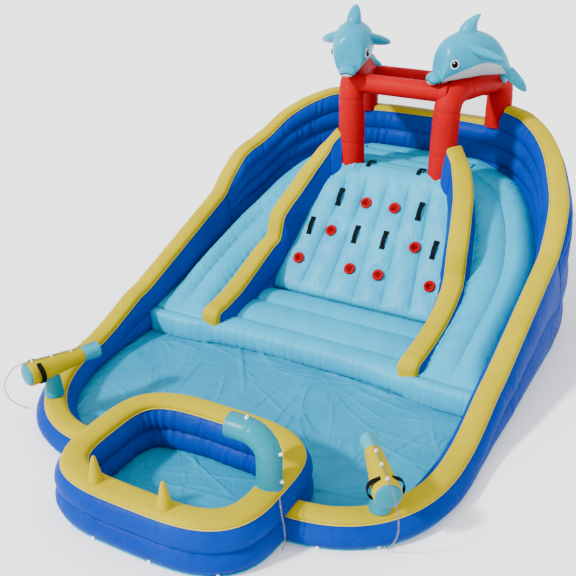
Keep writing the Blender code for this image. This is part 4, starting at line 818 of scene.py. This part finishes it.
# slides; each row is a point of the outer edge, then one of the inner edge
slide = {
    "rows": ((0.6003, 2.905, 1.225, 0.6003, 2.020, 1.225), (1.050, 2.789, 1.210, 0.606, 1.980, 1.200),
             (1.275, 2.599, 1.160, 0.672, 1.918, 1.130), (1.463, 2.351, 1.049, 0.731, 1.840, 1.059),
             (1.581, 2.102, 0.903, 0.788, 1.740, 0.979), (1.650, 1.851, 0.798, 0.822, 1.621, 0.871),
             (1.680, 1.551, 0.715, 0.870, 1.451, 0.746), (1.680, 1.250, 0.640, 0.921, 1.221, 0.585),
             (1.680, 0.920, 0.563, 0.966, 0.920, 0.440), (1.680, 0.599, 0.459, 0.965, 0.599, 0.335),
             (1.680, 0.301, 0.325, 0.957, 0.301, 0.260), (1.680, 0.126, 0.222, 0.953, 0.126, 0.222)),
    "crest": (0.0, 0.5, 1.0, 1.0, 1.0, 1.0, 1.0, 1.0, 1.0, 1.0, 0.9, 0.0), "lane": (0.17, 0.80), "lift": 0.044,
    "lines": 0.0076, "pucker": 0.006, "wave": 0.0022, "drop": 0.10,
    "edgeDrop": ((0.0, 0.0), (0.12, 0.04), (0.32, 0.110), (0.88, 0.110), (1.0, 0.0))}


def makeSlides():
    rows = np.array(slide["rows"])
    outer, inner = curveThrough(rows[:, :3], 300), curveThrough(rows[:, 3:], 300)
    where, across = np.linspace(0, 1, 300), np.linspace(0, 1, 96)
    crest = np.interp(where, np.linspace(0, 1, len(slide["crest"])), slide["crest"])
    crest[-26:] = np.minimum(crest[-26:], np.linspace(1, 0, 26) ** 0.6)
    low, high = slide["lane"]
    tubes = np.abs(np.sin(2 * math.pi * within((across - low) / (high - low)))) ** 0.7
    run = lengthAlong((inner + outer) / 2)
    gridS, gridA = np.meshgrid(run, across, indexing="ij")
    for (name, mirror), seed in zip(sides.items(), (130, 140)):
        warp = gridS + 0.05 * np.sin(gridA * 9) + 0.02 * gridRipple(gridS, gridA, 0.6, seed + 2)
        lines = np.clip(ripple(warp.ravel(), 0.034, seed, 9).reshape(warp.shape), 0, 1.6) ** 1.5
        patch = within(0.25 + 0.8 * gridRipple(gridS, gridA, 0.45, seed + 4))
        lift = slide["lift"] * tubes * crest[:, None]
        lift += slide["lines"] * lines * patch * tubes ** 1.5 * np.clip(crest[:, None], 0.15, 1)
        lift -= slide["pucker"] * puckers(run, 0.110, seed + 5, 3.0)[:, None] * (1 - tubes)
        lift += slide["wave"] * gridRipple(gridS, gridA * 0.6, 0.3, seed + 6)
        # the outer tube is round down to the wall
        lift -= readTable(slide["edgeDrop"], where)[:, None] * within((across - 0.58) / 0.22) ** 1.6
        surface = inner[:, None] + (outer - inner)[:, None] * across[None, :, None]
        surface[:, :, 2] += lift
        surface[:, :, 0] *= mirror
        slab(name + "Slide", surface, slide["drop"], "cyan", node=name + "_slide", fill=0.95)


makeDividers()
makeSlides()
print("dividers and slides built")

# red arches, beams and net
arches = {"radius": 0.125, "frontX": 0.457, "lean": 0.030, "foot": 1.06, "rearX": 0.715, "height": 2.07,
          "bend": 0.20, "rearFoot": 1.577, "beam": 0.090, "frontBeam": 2.055, "rearBeam": 1.950,
          "seams": (0.42, 0.83, 1.14, 1.66, 1.92), "seamDepth": 0.0045, "pucker": 0.0022}
net = {"cord": 0.0013, "upright": 80, "level": 18, "overlap": 0.004}


def rearDepth(x):
    angle = math.acos((x - wallPlan["backFlat"]) / (wallPlan["halfSpan"] - wallPlan["backFlat"]))
    return wallPlan["towerY"] + (wallPlan["backY"] - wallPlan["towerY"]) * math.sin(angle)


def makeArches():
    a, rearY = arches, rearDepth(arches["rearX"])
    foot = np.array([a["frontX"], platform["frontY"], a["foot"]])
    lean = np.array([a["lean"], 0.0, a["height"] - a["foot"]])
    topFront, topRear = foot + lean, np.array([a["rearX"], rearY, a["height"]])
    run, up = unit(topRear - topFront), unit(lean)
    line = [foot + lean * share for share in np.linspace(0, 0.72, 8)]
    for corner, before, after in ((topFront, -up, run), (topRear, -run, np.array([0.0, 0.0, -1.0]))):
        start, end = corner + before * a["bend"], corner + after * a["bend"]
        line += [start * (1 - t) ** 2 + corner * 2 * t * (1 - t) + end * t * t for t in np.linspace(0, 1, 9)]
    line = evenly(line + [(a["rearX"], rearY, a["rearFoot"])], 190)
    length, turn = lengthAlong(line), circle(40)
    radius = np.full(len(line), a["radius"])
    dent = np.zeros((len(line), len(turn)))
    for seam in a["seams"]:
        radius -= a["seamDepth"] * peak(length - seam, 0.008)
        fold = within(np.sin(turn * 17 + seam * 30)) ** 2
        dent += fade(np.abs(length - seam), 0.035)[:, None] * fold[None, :] * a["pucker"]
    dent += 0.0012 * gridRipple(*np.meshgrid(length, turn * a["radius"], indexing="ij"), 0.3, 150)
    for name, mirror in sides.items():
        sweep(name + "Arch", tubeRings(line * [mirror, 1, 1], radius[:, None] - dent, len(turn)), "red",
              node=name + "_arch", fill=1.0)
    frontX = a["frontX"] + a["lean"] * (a["frontBeam"] - a["foot"]) / (a["height"] - a["foot"])
    for name, half, y, z in (("front", frontX, platform["frontY"], a["frontBeam"]),
                             ("rear", a["rearX"], rearY, a["rearBeam"])):
        x = np.linspace(-half, half, 120)
        thickness = a["beam"] - 0.0030 * puckers(x, 0.06, 152) * fade((half - np.abs(x) - 0.1).clip(0), 0.06)
        sweep(name + "Beam", tubeRings(joined(x, y, z), thickness, 32), "red", node=name + "_beam", fill=1.0)

    # net of fine cords behind the platform
    half = a["rearX"] - a["radius"] + net["overlap"]
    low, high = wallHeights["back"] + 0.048, a["rearBeam"] - a["beam"] + net["overlap"]
    lines = [joined(x, rearY, np.linspace(low, high, 12)) for x in np.linspace(-half, half, net["upright"])]
    lines += [joined(np.linspace(-half, half, 60), rearY, z) for z in np.linspace(low, high, net["level"])]
    sweepMany("backNet", [tubeRings(line, net["cord"], 5) for line in lines], "net", node="back_net")


makeArches()
print("arches and net built")

# dolphins: body rows are forward, height, half width and half height; blades are root, tip, chords,
# thickness, direction of the chord and bend; all as shares of the length
dolphin = {
    "length": 0.88,
    "body": ((0.464, -0.220, 0.024, 0.014), (0.459, -0.220, 0.062, 0.036), (0.440, -0.218, 0.086, 0.054),
             (0.405, -0.212, 0.097, 0.062), (0.374, -0.206, 0.092, 0.060), (0.360, -0.196, 0.096, 0.072),
             (0.354, -0.125, 0.140, 0.144), (0.328, -0.070, 0.163, 0.188), (0.262, -0.030, 0.187, 0.216),
             (0.155, 0.000, 0.211, 0.236), (0.020, 0.018, 0.224, 0.242), (-0.122, 0.010, 0.206, 0.221),
             (-0.245, -0.022, 0.178, 0.190), (-0.347, -0.078, 0.132, 0.138), (-0.420, -0.136, 0.084, 0.086),
             (-0.465, -0.190, 0.052, 0.052), (-0.490, -0.220, 0.022, 0.022)),
    "bellyEdge": ((-0.470, 4.0), (-0.440, 24.0), (-0.380, 50.0), (-0.280, 70.0), (-0.120, 76.0), (0.000, 74.0),
                  (0.180, 62.0), (0.300, 52.0), (0.352, 44.0), (0.372, 46.0), (0.420, 52.0), (0.464, 56.0)),
    "seams": (0.10, -0.14), "around": 60, "bellySides": 20, "mouth": 0.0042, "mouthStart": 0.350,
    "fin": ((0, -0.030, 0.200), (0, -0.175, 0.413), (0.215, 0.175, 0.100), 0.185, (0, 1, 0.15), (0, 0.24, 0)),
    "eye": (0.266, -0.041), "eyeFacing": (0.93, -0.34, 0.06), "glintShift": (0, -0.008, 0.014),
    "eyeParts": (("White", "eyeWhite", 0.041, 0.016, 1.08, -0.007), ("Black", "eyeBlack", 0.030, 0.010, 1.10, 0.0035),
                 ("Glint", "eyeWhite", 0.0055, 0.003, 1.0, 0.0110)),
    "left": {"place": (-0.555, 2.150, 2.3726), "heading": -16.0, "nod": 1.5, "flukeTip": (0.250, 0.530, -0.300)},
    "right": {"place": (0.597, 2.175, 2.3776), "heading": 44.0, "nod": 0.0, "flukeTip": (0.215, 0.545, -0.350)}}


def bladeRings(root, tip, chords, thickness, chordAxis, bend):
    # a fat, inflated blade: chords at the root, the middle and near the tip
    size, turn = dolphin["length"], circle(28)
    axis = unit(chordAxis)
    root, tip = np.array(root, float) * size, np.array(tip, float) * size
    thin = unit(np.cross(axis, unit(tip - root)))
    rings = []
    for share in (1 - (1 - np.linspace(0, 1, 34)) ** 1.5):
        rounding = math.sqrt(max(1 - share ** 7, 0.0004))
        chord = np.interp(share, (0, 0.5, 1.0), chords) * rounding * size
        thick = thickness * np.interp(share, (0, 0.5, 1.0), (1.0, 0.80, 0.50)) * rounding * size
        centre = root + (tip - root) * share + np.array(bend) * size * share ** 2
        ripples = 1 - 0.03 * within(np.sin(turn * 9)) * math.exp(-share * 7)
        rings.append(centre + np.outer(np.cos(turn) * ripples, axis) * chord / 2
                     + np.outer(np.sin(turn) * ripples, thin) * thick / 2)
    return np.array(rings)


def discRings(middle, facing, radius, height, tall):
    side = unit(np.cross(facing, [0, 0, 1.0]))
    up, turn = np.cross(side, facing), circle(20)
    return np.array([middle + facing * lift + np.outer(np.cos(turn) * r, side) + np.outer(np.sin(turn) * r * tall, up)
                     for r, lift in domeProfile(radius, height, 9)])


def makeDolphin(name):
    spec, size, around, bellySides = dolphin[name], dolphin["length"], dolphin["around"], dolphin["bellySides"]
    where = (Matrix.Translation(spec["place"]) @ Matrix.Rotation(math.radians(-spec["heading"]), 4, "Z")
             @ Matrix.Rotation(math.radians(-spec["nod"]), 4, "X"))
    rows = curveThrough(np.array(dolphin["body"]) * size, 110)
    rings = []
    for forward, height, halfWidth, halfHeight in rows:
        # the columns are set so that the belly's edge runs along one line of the mesh
        edge = math.radians(readTable(dolphin["bellyEdge"], forward / size))
        turn = np.concatenate([np.linspace(-edge, edge, bellySides + 1)[:-1],
                               np.linspace(edge, 2 * math.pi - edge, around - bellySides + 1)[:-1]]) - math.pi / 2
        dent = 1 - sum(0.006 * peak(forward / size - seam, 0.010) for seam in dolphin["seams"])
        rings.append(joined(halfWidth * np.cos(turn) * dent, -forward, height + halfHeight * np.sin(turn) * dent))
    body = sweep(name + "Dolphin", placed(rings, where), "dolphin", node=name + "_dolphin", fill=1.0)
    body.data.materials.append(finishMaterial("belly"))
    for index, face in enumerate(body.data.polygons):
        row, side = divmod(index, around)
        if row < len(rows) - 1 and side < bellySides and rows[row][0] > -0.462 * size:
            face.material_index = 1
    front = np.array(rings)[rows[:, 0] / size > dolphin["mouthStart"]]
    mouth = evenly(np.vstack([front[::-1, 0], front[:, bellySides]]), 60)
    sweep(name + "Mouth", placed(tubeRings(mouth, dolphin["mouth"], 8), where), "eyeBlack")

    flukes = [bladeRings((0, 0.440, -0.170), np.array(spec["flukeTip"]) * [sign, 1, 1], (0.150, 0.155, 0.090), 0.080,
                         (0.35 * sign, 1, 0.1), (0, 0.010, -0.02)) for sign in (-1, 1)]
    parts = [("Fin", [bladeRings(*dolphin["fin"])], None), ("Flukes", flukes, None)]
    for label, sign in (("Inner", -sides[name]), ("Outer", sides[name])):
        blade = bladeRings((sign * 0.150, -0.045, 0.085), (sign * 0.385, 0.135, 0.010), (0.230, 0.200, 0.110), 0.125,
                           (-0.25 * sign, 1, -0.45), (0, 0.04, 0))
        parts.append((label + "Flipper", [blade], f"{name}_dolphin_{label.lower()}_flipper"))
    for label, blades, node in parts:
        sweepMany(name + label, [placed(blade, where) for blade in blades], "dolphin", node=node, fill=1.0)

    # eyes: a white patch, a dark pupil and a small glint
    forward, high = np.array(dolphin["eye"]) * size
    table = rows[np.argsort(rows[:, 0])]
    middleHeight, reach, tallness = (np.interp(forward, table[:, 0], table[:, k]) for k in (1, 2, 3))
    out = reach * math.sqrt(1 - ((high - middleHeight) / tallness) ** 2)
    for label, finish, radius, height, tall, forth in dolphin["eyeParts"]:
        discs = []
        for sign in (-1.0, 1.0):
            facing = unit(np.array(dolphin["eyeFacing"]) * [sign, 1, 1])
            middle = np.array([sign * out, -forward, high]) + facing * forth
            if label == "Glint":
                middle = middle + np.array(dolphin["glintShift"])
            discs.append(placed(discRings(middle, facing, radius, height, tall), where))
        sweepMany(name + "Eye" + label, discs, finish)


makeDolphin("left")
makeDolphin("right")
print("dolphins built")

# webbing straps
strap = {"width": 0.044, "thickness": 0.0050, "length": 0.175, "edgeLength": 0.19, "standOff": 0.028, "foot": 0.030,
         "places": ((-0.64, 0.742), (0.58, 0.742), (-0.86, 0.489), (-0.21, 0.489), (0.185, 0.489), (0.86, 0.489)),
         "edgePlace": (0.262, 0.1045, 0.002), "padHeight": 0.0068, "padGrow": 0.006}


def strapRings(where, length):
    half, foot, standOff, thickness = length / 2, strap["foot"], strap["standOff"], strap["thickness"]
    lift = thickness / 2 + 0.0006
    line = curveThrough([(-half, lift), (-half + foot * 0.8, lift), (-half + foot * 1.3, standOff * 0.50),
                         (-half * 0.30, standOff - thickness), (half * 0.30, standOff - thickness),
                         (half - foot * 1.3, standOff * 0.50), (half - foot * 0.8, lift), (half, lift)], 44)
    line[:, 1] = np.maximum(line[:, 1], lift)
    tangent = unit(np.gradient(line, axis=0))
    normal = joined(-tangent[:, 1], tangent[:, 0])
    rings = []
    for across, out in ((-1, -1), (-0.92, 1), (0, 1), (0.92, 1), (1, -1)):
        x, z = (line + normal * out * thickness / 2).T
        rings.append(joined(x, across * strap["width"] / 2, z))
    return placed(np.stack(rings, 1), where)


def footPads(where):
    # the square patches that a strap is sewn on
    pads = []
    for sign in (-1, 1):
        middle, half = sign * (strap["length"] / 2 - strap["foot"] * 0.42), strap["foot"] * 0.60
        rings = []
        for x, grow in ((middle - half, 0), (middle - half + 0.002, 1), (middle + half - 0.002, 1), (middle + half, 0)):
            w, h = strap["width"] / 2 + strap["padGrow"] * grow, strap["padHeight"] * (0.5 + 0.5 * grow)
            rings.append([[x, -w, 0.0], [x, -w + 0.002, h], [x, w - 0.002, h], [x, w, 0.0]])
        pads.append(placed(rings, where))
    return pads


def makeStraps():
    upSlope = Vector((0.0, climb["topY"] - climb["footY"], climb["topZ"] - climb["footZ"])).normalized()
    pads = []
    for number, (across, up) in enumerate(strap["places"], start=1):
        where = axes(upSlope, (-1.0, 0.0, 0.0), climbNormal, climbPoint(across, up, -0.001))
        sweep(f"climbingStrap{number}", strapRings(where, strap["length"]), "webbing", node=f"climbing_strap_{number}")
        pads += footPads(where)
    x, y, z = strap["edgePlace"]
    for name, mirror in sides.items():
        where = axes((0, 1, 0), (-1, 0, 0), (0, 0, 1), (mirror * x, climb["topY"] + y, climb["topZ"] + z))
        sweep(name + "EdgeStrap", strapRings(where, strap["edgeLength"]), "webbing", node=name + "_edge_strap")
    sweepMany("strapPatches", pads, "webbing")


makeStraps()
print("straps built")

# water cannons
cannon = {
    "axis": 0.475, "rearRadius": 0.095, "frontRadius": 0.058, "length": 0.470, "rearReach": 0.200,
    "nozzleLength": 0.140, "nozzleRadius": 0.066, "bore": 0.046, "boreDepth": 0.110, "capDepth": 0.030,
    "postRadius": 0.072, "postTop": 0.058, "postFoot": 0.221, "clips": (0.10, 0.45, 0.80), "gripPlace": 0.17,
    "gripAngles": ((-66, 0.0), (-52, 0.0), (-38, 0.55), (-20, 1.0), (0, 1.08), (20, 1.0), (38, 0.55), (52, 0.0),
                   (66, 0.0)),
    "left": {"pivot": (-1.345, -1.5136), "heading": -20.0}, "right": {"pivot": (1.44, -1.5542), "heading": 36.0}}


def turnedRings(profile, matrix, around, wobble):
    # a turned body; wobble gives the change of radius round each ring
    turn = circle(around)
    rings = []
    for radius, along in profile:
        r = radius + wobble(turn, radius, along)
        rings.append(joined(r * np.cos(turn), r * np.sin(turn), along))
    return placed(rings, matrix)


def wavy(depth, lobes, twist):
    return lambda turn, radius, along: depth * np.sin(turn * lobes + along * twist)


def clipRings(matrix):
    # a small moulded block with a raised saddle over the hose; the local -Y points away from the fabric
    groups = []
    for half, tall, depth in ((0.0120, 0.010, 0.0090), (0.0085, 0.020, 0.0065)):
        rings = []
        for z, shrink in ((-depth, 0.85), (-depth * 0.8, 1.0), (depth * 0.8, 1.0), (depth, 0.85)):
            w, h = half * shrink, tall * shrink
            rings.append([[-w, 0.004, z], [-w, -h + 0.003, z], [-w + 0.003, -h, z], [w - 0.003, -h, z],
                          [w, -h + 0.003, z], [w, 0.004, z]])
        groups.append(placed(rings, matrix))
    return groups


def makeCannon(name):
    c, body = cannon, name + "_cannon"
    pivot, heading = c[name]["pivot"], math.radians(c[name]["heading"])
    rearRadius, frontRadius, foot = c["rearRadius"], c["frontRadius"], c["postFoot"]
    forward = Vector((-math.sin(heading), math.cos(heading), 0.0))
    across = Vector((forward.y, -forward.x, 0.0))
    where = axes(across, across.cross(forward) * -1, forward, (*pivot, c["axis"]))
    stand = Matrix.Translation((*pivot, 0.0))
    rear, front = -c["rearReach"], c["length"] - c["rearReach"]
    start, end = front + 0.0003, front + c["nozzleLength"]
    underBarrel = c["axis"] - (rearRadius + (frontRadius - rearRadius) * c["rearReach"] / c["length"])

    def barrelRadius(share):
        return rearRadius + (frontRadius - rearRadius) * share

    def fabric(turn, radius, along):
        ends = min(abs(along - rear), abs(along - front))
        return (-0.0022 * within(np.sin(turn * 15 + 1)) ** 2 * math.exp(-ends / 0.03)
                + 0.0012 * np.sin(turn * 3 + along * 9))

    def pleats(turn, radius, along):
        share = radius / rearRadius
        return -0.0035 * share * (0.5 + 0.5 * np.sin(turn * 24)) * within(1.4 - share) * 2

    def gathers(turn, radius, along):
        return -0.0016 * within(np.sin(turn * 13)) ** 2 * math.exp(-(along - foot) / 0.03)

    barrel = [(rearRadius * 0.92, rear), (rearRadius * 0.985, rear + 0.012), (rearRadius, rear + 0.05),
              (frontRadius * 1.06, front - 0.03), (frontRadius * 1.02, front - 0.008), (frontRadius * 0.95, front)]
    dome = [(rearRadius * 0.95, rear + 0.004)]
    dome += [(r, rear - h) for r, h in domeProfile(rearRadius * 0.95, c["capDepth"], 16)[:-1]]
    dome += [(rearRadius * 0.03, rear - c["capDepth"])]
    nozzle = [(frontRadius * 0.93, start - 0.004), (frontRadius * 1.01, start + 0.016),
              (c["nozzleRadius"], end - 0.016), (c["nozzleRadius"] * 0.95, end - 0.002),
              (c["bore"] * 1.08, end - 0.001), (c["bore"], end - 0.012), (c["bore"] * 0.88, end - c["boreDepth"])]
    # the post ends in the soft collar that joins it to the barrel
    post = [(c["postRadius"] * 1.02, foot), (c["postRadius"] * 1.05, foot + 0.012), (c["postRadius"], foot + 0.035),
            (c["postTop"], underBarrel - 0.02), (c["postTop"] * 0.80, underBarrel + 0.014)]
    for label, node, finish, profile, place, around, wobble, rider in (
            ("Barrel", "barrel", "yellow", evenly(barrel, 70), where, 48, fabric, body),
            ("RearCap", "rear_cap", "turquoise", dome, where, 96, pleats, body),
            ("Nozzle", "nozzle", "paleTurquoise", evenly(nozzle, 70), where, 40, wavy(0.0009, 5, 30), body),
            ("Post", "post", "turquoise", evenly(post, 40), stand, 40, gathers, "base")):
        sweep(name + label, turnedRings(profile, place, around, wobble), finish, node=f"{name}_cannon_{node}",
              fill=1.0, body=rider)

    angles, lifts = zip(*c["gripAngles"])
    turn = np.radians(np.linspace(angles[0], angles[-1], 60))
    lift = soften(np.interp(np.degrees(turn), angles, lifts), 9)
    for label, sign in sides.items():
        rings = []
        for across, out in ((-1, 0), (-0.94, 1), (0, 1.1), (0.94, 1), (1, 0)):
            reach = barrelRadius(c["gripPlace"]) + 0.0015 + 0.026 * lift + 0.0045 * out
            along = rear + c["length"] * c["gripPlace"] + across * 0.020
            rings.append(joined(sign * reach * np.cos(turn), reach * np.sin(turn), along))
        sweep(f"{name}Grip{label.capitalize()}", placed(np.stack(rings, 1), where), "webbing",
              node=f"{name}_cannon_{label}_handle", body=body)
    clips = []
    for share in c["clips"]:
        clips += clipRings(where @ Matrix.Translation((0, -barrelRadius(share), rear + c["length"] * share)))
    sweepMany(name + "HoseClips", clips, "clip", body=body)


makeCannon("left")
makeCannon("right")
print("cannons built")

# spray elbow, cones, sleeve
fittings = {"elbowPlace": (0.795, -1.865), "elbowRadius": 0.086, "elbowRise": 0.240, "elbowBend": 0.170,
            "elbowReach": 0.120, "elbowBore": 0.060, "elbowSeams": (0.22, 0.33, 0.44), "coneSides": (-0.208, 0.336),
            "coneRadius": 0.052, "coneHeight": 0.190, "sleeveRadius": 0.095, "sleeveSide": 0.95, "sleeveLength": 0.42,
            "sunk": 0.03}


def makeElbow():
    f, bend, bore = fittings, fittings["elbowBend"], fittings["elbowBore"]
    base = np.array([*f["elbowPlace"], smallPool["height"] + f["sunk"]])
    rise = f["elbowRise"] - f["sunk"]
    corner = base + [0, 0, rise]
    line = [base, base + [0, 0, rise * 0.5]]
    line += [corner + [-bend + bend * math.cos(angle), 0, bend * math.sin(angle)]
             for angle in np.radians(np.linspace(0, 90, 12))]
    line = evenly(line + [line[-1] + np.array([-f["elbowReach"], 0, 0])], 110)
    length, turn = lengthAlong(line), circle(40)
    radius = f["elbowRadius"] + 0.006 * fade(length, 0.02)
    grid = radius[:, None] * np.ones((1, len(turn)))
    for seam in f["elbowSeams"]:
        grid -= 0.0030 * peak(length - seam, 0.006)[:, None]
        grid -= 0.0018 * fade(np.abs(length - seam), 0.03)[:, None] * within(np.sin(turn * 14 + seam * 50)) ** 2
    lip = tubeRings(line[-2:], bore, len(turn))[-1:]
    deep = tubeRings(line[-30:], bore * 0.96, len(turn))[::-1]
    clips = []
    for angle, up in ((0.0, -rise * 0.70), (14.0, 0.0), (88.0, 0.0)):
        turned = math.radians(angle)
        away = Vector((math.cos(turned), 0.0, math.sin(turned)))
        along = Vector((0.0, 1.0, 0.0)).cross(away)
        middle = Vector(corner + [-bend, 0, up]) + away * (bend + f["elbowRadius"])
        clips += clipRings(axes(along.cross(away), -away, along, middle))
    sweepMany("elbowClips", clips, "clip")
    sweep("sprayElbow", np.concatenate([tubeRings(line, grid, len(turn)), lip, deep]), "turquoise", node="spray_elbow",
          fill=1.0)


def makeSheetClips():
    # clips along the front edge of the base sheet
    down = Vector((0.0, 0.0, -1.0))
    groups = []
    for spot in groundSheet["clips"]:
        nearest = int(np.argmin(np.hypot(*(sheetEdge - spot).T)))
        along = sheetEdge[(nearest + 2) % len(sheetEdge)] - sheetEdge[nearest - 2]
        along = Vector((*along, 0.0)).normalized()
        groups += clipRings(axes(along, down, along.cross(down), (*sheetEdge[nearest], 0.011)))
    sweepMany("sheetClips", groups, "clip")


def makeCones():
    radius, height = fittings["coneRadius"], fittings["coneHeight"] + 0.02
    outline = evenly([(radius * 1.06, 0.0), (radius, 0.022), (radius * 0.78, height * 0.36),
                      (radius * 0.46, height * 0.74), (radius * 0.26, height * 0.93),
                      (radius * 0.12, height * 0.985), (0.001, height)], 44)
    for number, x in enumerate(fittings["coneSides"], start=1):
        place = (x, smallPool["centre"][1] - smallPool["half"][1], smallPool["height"] + fittings["sunk"])
        rings = turnedRings(outline, Matrix.Translation(place), 32, wavy(0.0008, 7, 40))
        sweep(f"rimCone{number}", rings, "yellow", node=f"rim_cone_{number}", fill=1.0)


def makeSleeve():
    x, radius = fittings["sleeveSide"], fittings["sleeveRadius"]
    out = np.array([0.35, 1.0, 0.0]) / math.hypot(0.35, 1.0)
    begin = np.array([x, rearDepth(x), radius + 0.0125]) + out * 0.06
    length = fittings["sleeveLength"] + wallPlan["seamHalf"] - 0.04
    run, turn = np.linspace(0, length, 70), circle(48)
    line = begin + np.outer(run, out)
    folds = 0.004 * np.sin(turn * 5 + 1)[None, :] * (run / length)[:, None] + 0.0025 * np.sin(turn * 11)[None, :]
    tie = 0.010 * peak(run - length * 0.86, 0.012)[:, None]
    outer = tubeRings(line, radius - 0.007 + folds - tie, len(turn))
    inner = tubeRings(line, radius - 0.0105 + folds - tie, len(turn))[::-1]
    sleeve = sweep("inflationSleeve", np.concatenate([outer, inner[:-12]]), "blue", node="inflation_sleeve")


makeElbow()
makeSheetClips()
makeCones()
makeSleeve()
print("fittings built")

# water hoses; a cannon's points are forward of, beside and above its pivot
hoses = {
    "radius": 0.0065,
    "right": ((0.390, 0.0, 0.5495), (0.241, 0.0, 0.550), (0.100, 0.0, 0.559), (0.0, 0.0, 0.567), (-0.100, 0.0, 0.575),
              (-0.172, 0.0, 0.581), (-0.246, 0.001, 0.581), (-0.306, 0.008, 0.555), (-0.334, 0.022, 0.480),
              (-0.335, 0.036, 0.375), (-0.316, 0.041, 0.270), (-0.275, 0.034, 0.180), (-0.227, 0.027, 0.095),
              (-0.184, 0.025, 0.038), (-0.135, 0.025, 0.0202)),
    "left": ((0.390, 0.0, 0.5495), (0.240, 0.0, 0.550), (0.100, 0.0, 0.559), (0.0, 0.0, 0.567), (-0.100, 0.0, 0.575),
             (-0.172, 0.0, 0.581), (-0.245, -0.003, 0.581), (-0.302, -0.016, 0.555), (-0.335, -0.051, 0.490),
             (-0.343, -0.111, 0.395), (-0.323, -0.161, 0.300), (-0.295, -0.177, 0.220), (-0.255, -0.155, 0.165),
             (-0.210, -0.114, 0.135), (-0.178, -0.085, 0.120)),
    "elbow": ((0.907, -1.930, 0.365), (0.950, -1.985, 0.310), (0.992, -2.020, 0.210), (0.992, -2.020, 0.100),
              (0.965, -2.000, 0.022))}


def hoseRoute(name):
    points = np.array(hoses[name])
    if name not in sides:
        return points
    heading = math.radians(cannon[name]["heading"])
    forward = np.array([-math.sin(heading), math.cos(heading)])
    across = np.array([forward[1], -forward[0]])
    plan = np.array(cannon[name]["pivot"]) + np.outer(points[:, 0], forward) + np.outer(points[:, 1], across)
    return joined(*plan.T, points[:, 2])


def makeHose(name, node):
    line = curveThrough(hoseRoute(name), 110)
    body = None if name in sides else "base"
    hose = sweep(name + "Hose", tubeRings(line, hoses["radius"]), "hose", node=node, body=body)
    if name in sides:
        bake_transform(hose)


makeHose("right", "right_cannon_hose")
makeHose("left", "left_cannon_hose")
makeHose("elbow", "elbow_hose")
print("hoses built")
